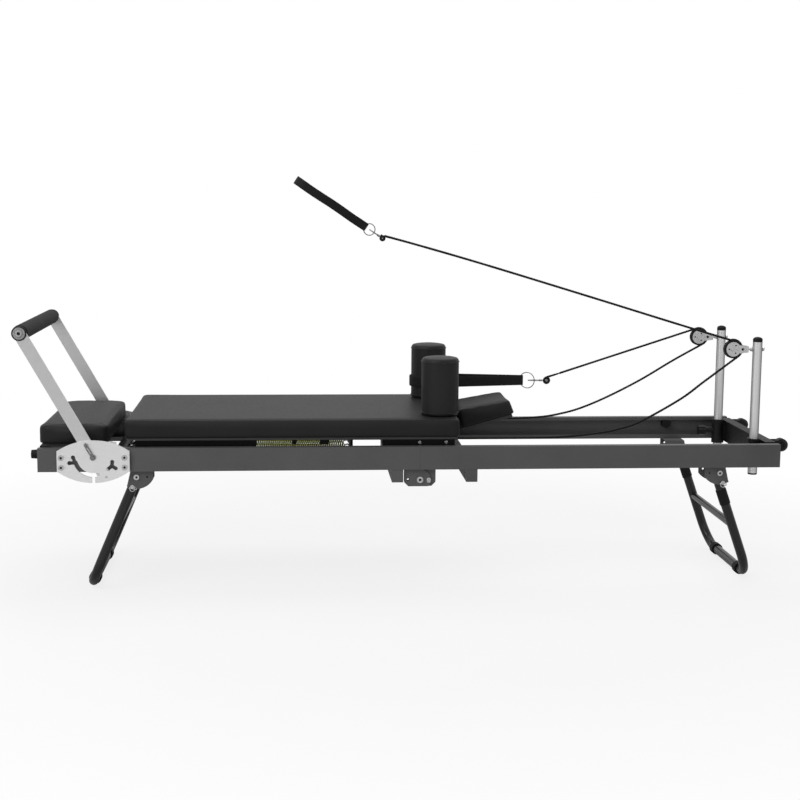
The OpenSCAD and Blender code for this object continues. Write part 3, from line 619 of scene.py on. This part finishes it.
def shoulder_rest(side):
    """An upright round cushion with two piped seams, on a short steel post."""
    node, body = side + "_shoulder_rest", side + "_rest"
    low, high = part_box(node)
    centre = ((low.x + high.x) / 2, (low.y + high.y) / 2, 0)
    bottom, top = CARRIAGE_TOP + 0.0008, high.z
    radius = (high.x - low.x) / 2 - 0.0015

    profile = [(0, bottom), (radius - 0.006, bottom)]
    profile += arc(radius - 0.005, bottom + 0.005, 0.005, range(-75, 1, 15))
    profile += [(radius, bottom + 0.02 + (top - bottom - 0.044) * i / 12) for i in range(13)]
    profile += arc(radius - 0.011, top - 0.016, 0.011, range(15, 91, 15))
    profile += [(radius * k, top - 0.005 + 0.0045 * (1 - k)) for k in (0.55, 0.3)]
    profile += [(0, top - 0.001)]
    cushion = lathe(side + "_shoulder_cushion", profile, VINYL_REST, 96, loc=centre, angle=70)
    puff(cushion, voxel=0.0042, pressure=1.6, limit=0.002, pin_below=bottom + 0.002,
         smoothing=1)
    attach(cushion, body)

    seams = [lathe(side + "_piping", arc(radius + 0.0002, z, 0.0016, range(-180, 181, 45)),
                   VINYL_REST, 96, loc=centre) for z in (bottom + 0.009, top - 0.018)]
    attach(join(side + "_shoulder_piping", seams), body)

    profile = [(0, bottom - 0.103), (0.0115, bottom - 0.103), (0.0125, bottom - 0.102),
               (0.0125, bottom + 0.002), (0, bottom + 0.002)]
    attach(lathe(side + "_shoulder_post", profile, ZINC, 48, loc=centre), body)
    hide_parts(node)


def headrest():
    """A wedge cushion, modelled flat and then tilted about its pivot on the carriage."""
    low, high = (0.0185, -0.1075, 0.0092), (0.1945, 0.1075, 0.0705)
    tilt = radians(15.4)
    pivot = (0.15 + MID_X, 0, 0.47)
    wedge_start, wedge_slope = 0.028, 0.088
    lean_from, lean = 0.09, 0.005
    item = rounded_block("headrest_cushion", low, high, 0.012, 0.008, VINYL_HEAD,
                         bottom_edge=0.005)
    # thinner towards its free end, which leans in a little at the top
    for v in item.data.vertices:
        share = min(max((v.co.z - low[2]) / (high[2] - low[2]), 0), 1)
        v.co.z -= share * (v.co.x - wedge_start) * wedge_slope
        if v.co.x > lean_from:
            v.co.x -= lean * share
    puff(item, voxel=0.0042, pressure=1.0, limit=0.0025, pin_below=0.013)
    item.data.transform(Matrix.Translation(pivot) @ Matrix.Rotation(-tilt, 4, "Y"))
    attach(item, "headrest")
    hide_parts("headrest_pad")


flat_cushion("carriage_cushion", "carriage_pad", "carriage", inset=0.0015, top_drop=0.0018,
             corner=0.016, edge=0.007, voxel=0.006, pressure=0.7, limit=0.0018)
flat_cushion("platform_cushion", "platform_pad", "foot_frame", inset=0.001, top_drop=0.002,
             corner=0.030, edge=0.010, voxel=0.005, pressure=1.0, limit=0.003)
for side, _ in SIDES:
    shoulder_rest(side)
headrest()

# ---------------------------------------------------------------- springs
SPRING_COUNT, SPRING_PITCH = 5, 0.080
SPRING_START, SPRING_END = -0.884 + MID_X, -0.198 + MID_X
SPRING_Z = 0.435
COIL_TURNS, COIL_STEPS, COIL_RADIUS = 96, 12, 0.0085
SPRING_WIRE, WIRE_SIDES = 0.0019, 6
# yellow and green, taken in turn across the frame
SPRING_SHADES = (((186, 178, 44), (206, 196, 66)), ((150, 160, 50), (172, 184, 74)))
# (radius, height) of the cup over the foot end of a coil
CUP_PROFILE = ((0, -0.004), (0.006, -0.004), (0.0112, 0.004), (0.0114, 0.030),
               (0.0105, 0.031), (0, 0.031))


def coil(name, y, mat):
    steps = COIL_TURNS * COIL_STEPS
    points = []
    for k in range(steps + 1):
        t = k / steps
        a = 2 * pi * COIL_TURNS * t
        x = SPRING_START + 0.012 + (SPRING_END - SPRING_START - 0.03) * t
        points.append(Vector((x, y + COIL_RADIUS * cos(a), SPRING_Z + COIL_RADIUS * sin(a))))
    verts = []
    for j, point in enumerate(points):
        tangent = (points[min(j + 1, steps)] - points[max(j - 1, 0)]).normalized()
        out = Vector((0, point.y - y, point.z - SPRING_Z)).normalized()
        across = tangent.cross(out)
        verts += [point + out * a + across * b for a, b in circle(SPRING_WIRE, WIRE_SIDES)]
    return skin(name, verts, WIRE_SIDES, mat)


def spring(index):
    y = (index - (SPRING_COUNT - 1) // 2) * SPRING_PITCH
    mat = powder(f"spring_{index}", SPRING_SHADES[index % 2], rough=0.32, grain=200, bump=0.05)
    item = join(f"spring_{index}", [
        coil(f"coil_{index}", y, mat),
        open_ring(f"hook0_{index}", (SPRING_START + 0.004, y, SPRING_Z), 0.008, SPRING_WIRE,
                  ZINC, start=-150, end=180),
        open_ring(f"hook1_{index}", (SPRING_END - 0.010, y, SPRING_Z), 0.008, SPRING_WIRE,
                  ZINC, start=0, end=330),
        turned(f"cup_{index}", CUP_PROFILE, HARD, (SPRING_START + 0.006, y, SPRING_Z),
               (1, 0, 0), segs=32)])
    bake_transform(item)
    if index == 0:
        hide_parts("springs")


for i in range(SPRING_COUNT):
    spring(i)

# ---------------------------------------------------------------- ropes
# degrees round the sheave, 0 towards +X: where the strap's rope lands and the tail leaves
ROPE_LANDS = {"near": 106, "far": 107}
ROPE_LEAVES = -52
# (x from the middle of the rails, z) of each tail, from the sheave to under the carriage
ROPE_TAILS = {
    "near": ((0.93, 0.648), (0.850, 0.588), (0.724, 0.517), (0.655, 0.494),
             (0.596, 0.482), (0.467, 0.469), (0.300, 0.467), (0.129, 0.467)),
    "far": ((0.93, 0.668), (0.815, 0.599), (0.700, 0.540), (0.609, 0.502),
            (0.540, 0.483), (0.470, 0.472), (0.349, 0.467), (0.129, 0.467)),
}


def on_sheave(degrees, y):
    a = radians(degrees)
    return (SHEAVE_X + ROPE_WRAP_RADIUS * cos(a), y, SHEAVE_Z + ROPE_WRAP_RADIUS * sin(a))


def rope_wrap(side, y):
    angles = np.linspace(ROPE_LANDS[side], ROPE_LEAVES, 16)
    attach(rope(side + "_rope_wrap", [on_sheave(a, y) for a in angles]), side + "_post")


def rope_tail(side, y):
    points = [on_sheave(ROPE_LEAVES, y)] + [(x + MID_X, y, z) for x, z in ROPE_TAILS[side]]
    tail = rope(side + "_rope_tail", points)
    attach(tail, "head_frame")
    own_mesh(tail)
    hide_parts(side + "_rope")


for build in (rope_wrap, rope_tail):
    for side, sign in SIDES:
        build(side, sign * ROPE_Y)


# ---------------------------------------------------------------- hand straps
def snap_hook(name, start, along, ref, length):
    """A spring hook: a long gate loop, a swivel barrel and its neck."""
    def point(share, side=0.0):
        return start + along * (length * share) + Vector((0, side, 0))

    gate = [point(0.3 + 0.3 * cos(t), 0.0075 * sin(t)) for t in np.linspace(0, 2 * pi, 37)[:-1]]
    barrel = [point(share) for share in (0.58, 0.62, 0.70, 0.74)]
    neck = [point(share) for share in (0.73, 0.92)]
    return [sweep(name + "_gate", gate, circle(0.0019, 10), NICKEL, ref=ref, closed=True),
            sweep(name + "_barrel", barrel, circle(0.0036, 16), NICKEL, ref=ref),
            sweep(name + "_neck", neck, circle(0.0020, 12), NICKEL, ref=ref)]


def wire_ring(name, centre, radius, turn):
    """A welded wire ring, turned about the vertical by turn degrees."""
    item = ring(name, (0, 0, 0), radius, 0.0016, NICKEL, segs=64)
    item.data.transform(Matrix.Translation(centre) @ Matrix.Rotation(radians(turn), 4, "Z"))
    return item


def near_strap():
    """The raised hand loop, its ring and hook, and the rope to the pulley."""
    slope = radians(146.5)
    along = Vector((cos(slope), 0, sin(slope)))    # from the ring out to the end of the loop
    across = Vector((-sin(slope), 0, cos(slope)))
    ring_at = Vector((-0.141 + MID_X, -ROPE_Y, 1.120))
    loop_length, start_gap, spread, end_round, steps = 0.222, 0.0019, 0.034, 0.036, 44
    ripple = 0.0006

    def aside(y):
        return Vector((0, y, 0))

    # the loop as (distance along, distance aside)
    half = [(loop_length * i / steps, start_gap + spread * sin(pi / 2 * i / steps))
            for i in range(steps + 1)]
    turns = [radians(90 - 180 * i / 16) for i in range(1, 16)]
    loop = half + [(loop_length + end_round * cos(t), (spread + start_gap) * sin(t))
                   for t in turns]
    loop += [(a, -b) for a, b in half[::-1]]
    path = [ring_at + along * (0.012 + a) + aside(b + ripple * sin(60 * a))
            + across * (ripple * sin(40 * a)) for a, b in loop]
    parts = [webbing("near_band", path, 0.0262, 0.0026, across)]

    turns = [radians(t) for t in range(-100, 101, 20)]
    path = [ring_at + along * (0.0155 - 0.0045 * cos(t)) + aside(0.00425 * sin(t))
            for t in turns]
    parts.append(webbing("near_turnover", path, 0.0256, 0.0024, across))
    parts.append(wire_ring("near_ring", ring_at + aside(0.001), 0.0178, turn=-12))
    for sign in (-1, 1):
        path = [ring_at + along * a + aside(sign * (0.0046 + 0.03 * (a - 0.012)))
                for a in (0.011, 0.03, 0.05)]
        parts.append(webbing("near_tab", path, 0.0258, 0.0022, across))
    parts += snap_hook("near_hook", ring_at - along * 0.002, -along, across, 0.048)

    knot = ring_at - along * 0.0488
    parts.append(ring("near_knot", knot, 0.0060, 0.0036, ROPE, segs=40, sides=12))
    parts.append(ring("near_thimble", knot, 0.0016, 0.0020, NICKEL, segs=32))
    start = knot + Vector((-0.004, 0, 0.0078))
    end = Vector(on_sheave(ROPE_LANDS["near"], -ROPE_Y))
    # share of the way to the sheave, height above the straight line
    arch = ((0.12, 0.0052), (0.3, 0.0065), (0.6, 0.0039), (0.85, 0.00065))
    lead = [start, start + Vector((0.012, 0, -0.0012))]
    lead += [start.lerp(end, share) + Vector((0, 0, rise)) for share, rise in arch]
    parts.append(rope("near_lead", lead + [end]))

    item = join("near_hand_strap", parts)
    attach(item, "near_strap")
    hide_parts("near_strap")


def far_strap():
    """The loop laid round the far shoulder rest, its ring and hook, and the rope."""
    ring_at = Vector((0.424 + MID_X, ROPE_Y, 0.599))
    band_z, end_gap = 0.600, 0.0016
    low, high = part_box("far_shoulder_rest")
    x, y = (low.x + high.x) / 2, (low.y + high.y) / 2
    radius = (high.x - low.x) / 2 + 0.0035
    band_end = ring_at.x - 0.016

    def flank(sign):
        start = Vector((band_end, ROPE_Y + sign * end_gap, band_z))
        return [start.lerp(Vector((x, y + sign * radius, band_z)), i / 40) for i in range(41)]

    turns = [radians(-90 - 180 * i / 32) for i in range(1, 32)]
    path = flank(-1)
    path += [Vector((x + radius * cos(a), y + radius * sin(a), band_z)) for a in turns]
    path += flank(1)[::-1]
    parts = [webbing("far_band", path, 0.034, 0.0026, (0, 0, 1)),
             wire_ring("far_ring", ring_at + Vector((-0.001, 0.004, 0)), 0.0268, turn=-30)]
    parts += snap_hook("far_hook", ring_at + Vector((0.003, 0, 0)), Vector((1, 0, 0)),
                       (0, 0, 1), 0.064)

    knot = ring_at + Vector((0.066, 0, -0.0005))
    parts.append(ring("far_knot", knot, 0.0092, 0.0038, ROPE, sides=12))
    parts.append(ring("far_thimble", knot, 0.0030, 0.0028, NICKEL, segs=32))
    bend = Vector((0.536 + MID_X, ROPE_Y, 0.624))
    end = Vector(on_sheave(ROPE_LANDS["far"], ROPE_Y))
    parts.append(rope("far_lead", [knot + Vector((-0.0062, 0, 0.0068)),
                                   knot + Vector((0.002, 0, 0.0118)),
                                   bend, bend.lerp(end, 0.5), end]))
    item = join("far_hand_strap", parts)
    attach(item, "far_strap")
    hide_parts("far_strap")


near_strap()
far_strap()

# ---------------------------------------------------------------- posts
# (radius, height) of the rod through the post and of the washers on its -X and +X sides
ROD_PROFILE = ((0, 0), (0.0038, 0), (0.0039, 0.001), (0.0039, 0.036), (0, 0.036))
WASHER_PROFILE = ((0.004, 0), (0.0082, 0), (0.0084, 0.0003), (0.0084, 0.0012),
                  (0.0082, 0.0015), (0.004, 0.0015))
SMALL_WASHER_PROFILE = ((0.004, 0), (0.0068, 0), (0.0070, 0.0003), (0.0070, 0.0010),
                        (0.004, 0.0012))


def post(side, y):
    """A tube with a foot plug, a domed cap and the nuts of the pulley's rod."""
    low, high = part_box(side + "_post")
    bottom, top = low.z, high.z
    foot = (POST_X, y, 0)
    along = (1, 0, 0)

    def at(dx):
        return (POST_X + dx, y, SHEAVE_Z)

    tube = [(0.0128, bottom + 0.005), (0.0149, bottom + 0.005), (0.0149, top - 0.012),
            (0.0128, top - 0.012)]
    plug = [(0, bottom), (0.0138, bottom), (0.0147, bottom + 0.0009),
            (0.0147, bottom + 0.0045), (0.0135, bottom + 0.0052), (0, bottom + 0.0052)]
    dome_start = top - 0.0085
    cap = [(0.0128, top - 0.0165), (0.0150, top - 0.0162), (0.0152, dome_start)]
    cap += [(0.0152 * cos(radians(a)), dome_start + 0.0083 * sin(radians(a)))
            for a in range(10, 90, 10)]
    cap += [(0, top - 0.0002)]
    item = join(side + "_chrome_post", [
        lathe(side + "_tube", tube, POST, 96, loc=foot, angle=30),
        lathe(side + "_plug", plug, HARD, loc=foot),
        lathe(side + "_cap", cap, RUBBER, loc=foot),
        turned(side + "_rod", ROD_PROFILE, ZINC, at(-0.041), along),
        turned(side + "_washer", WASHER_PROFILE, ZINC, at(-0.0168), along),
        hexagon(side + "_nut", 0.0072, 0.006, at(-0.0232), along, ZINC),
        turned(side + "_small_washer", SMALL_WASHER_PROFILE, ZINC, at(0.0146), along),
        hexagon(side + "_small_nut", 0.0069, 0.0055, at(0.0158), along, ZINC),
        thread(side + "_thread", 0.0038, 0.0072, at(0.0147), along, ZINC)])
    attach(item, side + "_post")
    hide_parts(side + "_post")


for side, sign in SIDES:
    post(side, sign * ROPE_Y)

# ---------------------------------------------------------------- footbar grip
grip_low, grip_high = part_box("footbar_grip")
GRIP_X = (grip_low.x + grip_high.x) / 2
GRIP_Z = (grip_low.z + grip_high.z) / 2
GRIP_BORE, GRIP_EDGE = 0.0125, 0.010
# Turned parts of each roller end, as (radius, height) outwards along Y.
# name, material, segments, profile
DISC_RIM = ("disc_rim", HARD, 64, (
    (0.0175, 0), (0.0219, 0), (0.0224, 0.0006), (0.0224, 0.0034), (0.0214, 0.0045),
    (0.0196, 0.0047), (0.0190, 0.0038), (0.0175, 0.0038)))
DISC_FACE = ("disc_face", DISC, 64, (
    (0, 0), (0.0190, 0), (0.0190, 0.0032), (0.0182, 0.0042), (0.0122, 0.0042),
    (0.0116, 0.0036), (0, 0.0036)))
DISC_BOLT = ("disc_bolt", ZINC, 48, (
    (0.0052, 0.0036), (0.0052, 0.0062), (0.0052, 0.0092), (0.0085, 0.0094),
    (0.0094, 0.0086), (0.0096, 0.0036), (0.0052, 0.0036)))
DISC_ROD = ("disc_rod", ZINC, 32, (
    (0, -0.047), (0.0056, -0.047), (0.0058, -0.0465), (0.0058, 0.0005), (0, 0.0005)))
DISC_INNER = ("disc_inner", HARD, 64, (
    (0, -0.0076), (0.0190, -0.0076), (0.0196, -0.0072), (0.0196, -0.0062), (0, -0.0062)))


def foam_roller():
    radius = (grip_high.x - grip_low.x) / 2 - 0.0004
    length = grip_high.y - grip_low.y
    gap = 0.0005                     # left at each end
    shoulder = gap + GRIP_EDGE       # where the rounded end meets the straight part
    profile = [(GRIP_BORE, gap), (radius - GRIP_EDGE, gap)]
    profile += arc(radius - GRIP_EDGE, shoulder, GRIP_EDGE, range(-75, 1, 15))
    profile += [(radius - 0.0002 * (0.5 + 0.5 * sin(i * 0.9)),
                 shoulder + (length - 2 * shoulder) * i / 60) for i in range(1, 60)]
    profile += arc(radius - GRIP_EDGE, length - shoulder, GRIP_EDGE, range(0, 91, 15))
    profile += [(GRIP_BORE, length - gap)]
    roller = lathe("foam_roller", profile, FOAM, 96, axis="Y",
                   loc=(GRIP_X, grip_low.y, GRIP_Z), angle=60)
    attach(roller, "footbar")
    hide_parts("footbar_grip")


def roller_end_discs():
    """At each end of the roller, a rimmed disc with a socket bolt; the socket is a black
    hexagon of painted shade.
    """
    disc_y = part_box("footbar_end_discs")[1].y - 0.00995
    parts = []
    for _, sign in SIDES:
        base, out = Vector((GRIP_X, sign * disc_y, GRIP_Z)), (0, sign, 0)

        def turn_parts(*table):
            return [turned(name, profile, mat, base, out, segs)
                    for name, mat, segs, profile in table]

        parts += turn_parts(DISC_RIM, DISC_FACE, DISC_BOLT)
        # a black hexagon down in the bolt's hole: painted shade for its socket
        parts.append(hexagon("disc_socket_shade", 0.0056, 0.0022,
                             base + Vector((0, sign * 0.0042, 0)), out, BLACK))
        parts += turn_parts(DISC_ROD, DISC_INNER)
    item = join("roller_end_discs", parts)
    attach(item, "footbar")
    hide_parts("footbar_end_discs")


foam_roller()
roller_end_discs()

# ---------------------------------------------------------------- small fittings
BEAM_BOLT_X = (0.0167, 0.0990)
BEAM_BOLT_PROFILE = ((0, 0), (0.0055, 0), (0.0055, 0.0022), (0.0042, 0.0034),
                     (0.0025, 0.0034), (0.0025, 0.0018), (0, 0.0018))
# bolt heads: x from the middle of the rails, y of the bolt, z, head diameter
# bolt heads that get a thin black hexagon of painted shade for a socket
SOCKETS = {
    "foot_frame": ((0.015, 0.286, 0.352, 0.020), (-0.855, 0.285, 0.366, 0.017),
                   (-1.077, 0.313, 0.432, 0.018), (-1.077, 0.313, 0.402, 0.018),
                   (-0.887, 0.313, 0.432, 0.018), (-0.887, 0.313, 0.402, 0.018)),
    "head_frame": ((0.962, 0.285, 0.366, 0.017),),
}
SOCKET_SHARE = 0.2112  # socket radius as a share of the head diameter
# (x, z) of the wire from the middle of its pin
CLIP_WIRE = ((-0.011, -0.0035), (-0.006, -0.001), (0, 0.0012), (0.007, 0.0006),
             (0.0125, -0.0045), (0.0095, -0.0085), (0.003, -0.0065))


def spring_tray():
    """A flat tray along the bottom of the spring anchor bar."""
    low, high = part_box("spring_anchor_bar")
    tray = rounded_block("spring_tray", (low.x - 0.040, low.y + 0.001, low.z - 0.0002),
                         (high.x + 0.016, high.y - 0.001, low.z + 0.0028), 0.003, 0.0006,
                         BLACK, steps=2, bottom_edge=0.0005)
    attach(tray, "foot_frame")


def beam_bolts():
    """Bolt heads on both sides of the carriage underframe."""
    for i, x in enumerate(BEAM_BOLT_X):
        for side, sign in SIDES:
            bolt = turned(f"beam_bolt_{i}_{side[0]}", BEAM_BOLT_PROFILE, ZINC,
                          (x + MID_X, sign * 0.244, 0.4635), (0, sign, 0), segs=24)
            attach(bolt, "carriage")


def bolt_socket_shades(body):
    """Thin black hexagons on the bolt heads of a frame: painted shade standing in for their
    sockets.
    """
    # each socket is a flat black hexagon on the head, painted shade in place of a recess
    parts = [hexagon("socket", diameter * SOCKET_SHARE, 0.0006,
                     (x + MID_X, sign * (y + 0.0026), z), (0, sign, 0), BLACK)
             for x, y, z, diameter in SOCKETS[body] for _, sign in SIDES]
    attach(join("bolt_socket_shades_" + body, parts), body)


def pin_clip(side, sign, end):
    """A wire clip through a leg lock pin."""
    node = f"{side}_{end}_leg_pin"
    low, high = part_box(node)
    x, z = (low.x + high.x) / 2, high.z - 0.0065
    y = sign * (max(abs(low.y), abs(high.y)) - 0.0022)
    path = catmull([(x + dx, y, z + dz) for dx, dz in CLIP_WIRE], step=0.0012)
    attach(sweep(node + "_clip", path, circle(0.0009, 8), ZINC), node)


spring_tray()
beam_bolts()
for body in SOCKETS:
    bolt_socket_shades(body)
for side, sign in SIDES:
    for end in ("foot", "head"):
        pin_clip(side, sign, end)


# ---------------------------------------------------------------- camera, light, floor
def add_camera():
    """Looks along +Y from the near side, turned a little to +X and down."""
    yaw, pitch, roll = radians(4.24), radians(8.16), radians(0.42)
    x, y, z = -0.3773 + MID_X, -4.7146, 1.2385
    forward = Vector((sin(yaw) * cos(pitch), cos(yaw) * cos(pitch), -sin(pitch)))
    level = Vector((cos(yaw), -sin(yaw), 0))
    upright = level.cross(forward)
    right = cos(roll) * level + sin(roll) * upright
    up = -sin(roll) * level + cos(roll) * upright
    camera = bpy.data.objects.new("camera", bpy.data.cameras.new("camera"))
    scene.collection.objects.link(camera)
    camera.matrix_world = Matrix(((right.x, up.x, -forward.x, x),
                                  (right.y, up.y, -forward.y, y),
                                  (right.z, up.z, -forward.z, z),
                                  (0, 0, 0, 1)))
    camera.data.sensor_width = 36
    camera.data.lens = 65.664
    camera.data.clip_end = 60
    scene.camera = camera


def area_light(name, loc, target, width, height, power):
    light = bpy.data.lights.new(name, "AREA")
    light.energy = power
    light.shape = "RECTANGLE"
    light.size = width
    light.size_y = height
    item = bpy.data.objects.new(name, light)
    scene.collection.objects.link(item)
    item.location = loc
    item.rotation_euler = (Vector(target) - Vector(loc)).to_track_quat("-Z", "Y").to_euler()


def add_world():
    """Soft white light, brighter in reflections and plain white to the camera."""
    world = bpy.data.worlds.new("studio")
    scene.world = world
    world.use_nodes = True
    nodes, links = world.node_tree.nodes, world.node_tree.links
    nodes.clear()
    rays = nodes.new("ShaderNodeLightPath")
    output = nodes.new("ShaderNodeOutputWorld")

    def background(strength):
        node = nodes.new("ShaderNodeBackground")
        node.inputs["Strength"].default_value = strength
        node.inputs["Color"].default_value = (1, 1, 1, 1)
        return node

    def mix(ray, other, chosen):
        node = nodes.new("ShaderNodeMixShader")
        links.new(rays.outputs[ray], node.inputs[0])
        links.new(other.outputs[0], node.inputs[1])
        links.new(chosen.outputs[0], node.inputs[2])
        return node

    soft, shine, white = background(0.26), background(0.72), background(1.0)
    lit = mix("Is Glossy Ray", soft, shine)
    seen = mix("Is Camera Ray", lit, white)
    links.new(seen.outputs[0], output.inputs["Surface"])


def floor_paper():
    """Pale paper that runs out to plain white away from the piece, for camera rays only."""
    m = Material("floor_paper")
    m.set(base=m.ramp(m.noise(m.mapped(), scale=3, detail=3), (0.86, 0.86, 0.86),
                      (0.9, 0.9, 0.9)), rough=0.8, spec=0.1)
    glow = m.add("ShaderNodeEmission", Strength=1.0)
    distance = m.add("ShaderNodeTexGradient")
    distance.gradient_type = "SPHERICAL"
    m.link(m.mapped(scale=(0.42, 0.42, 0.42)), distance.inputs["Vector"])
    amount = m.add("ShaderNodeMapRange", From_Min=0.0, From_Max=0.5, To_Min=1.0, To_Max=0.82)
    m.link(distance.outputs["Fac"], amount.inputs["Value"])
    rays = m.add("ShaderNodeLightPath")
    camera_only = m.add("ShaderNodeMath")
    camera_only.operation = "MULTIPLY"
    m.link(amount.outputs["Result"], camera_only.inputs[0])
    m.link(rays.outputs["Is Camera Ray"], camera_only.inputs[1])
    mix = m.add("ShaderNodeMixShader")
    m.link(camera_only.outputs[0], mix.inputs[0])
    m.link(m.shader.outputs[0], mix.inputs[1])
    m.link(glow.outputs[0], mix.inputs[2])
    m.link(mix.outputs[0], m.tree.nodes["Material Output"].inputs["Surface"])
    return m.material


def add_floor():
    mesh = bpy.data.meshes.new("floor")
    bm = bmesh.new()
    bmesh.ops.create_grid(bm, x_segments=1, y_segments=1, size=14)
    bm.to_mesh(mesh)
    bm.free()
    floor = bpy.data.objects.new("floor", mesh)
    scene.collection.objects.link(floor)
    floor.location = (0, 0, -0.0005)
    mesh.materials.append(floor_paper())


add_camera()
area_light("key", loc=(-2.4 + MID_X, -2.6, 3.0), target=(0, 0, 0.4),
           width=2.6, height=2.6, power=60)
area_light("top", loc=(0.2 + MID_X, 0.9, 3.8), target=(0, 0, 0.3),
           width=4.4, height=2.6, power=62)
area_light("fill", loc=(1.8 + MID_X, -4.2, 1.6), target=(0.2, 0, 0.5),
           width=2.6, height=2.6, power=6)
add_world()
add_floor()
scene.view_settings.view_transform = "Standard"
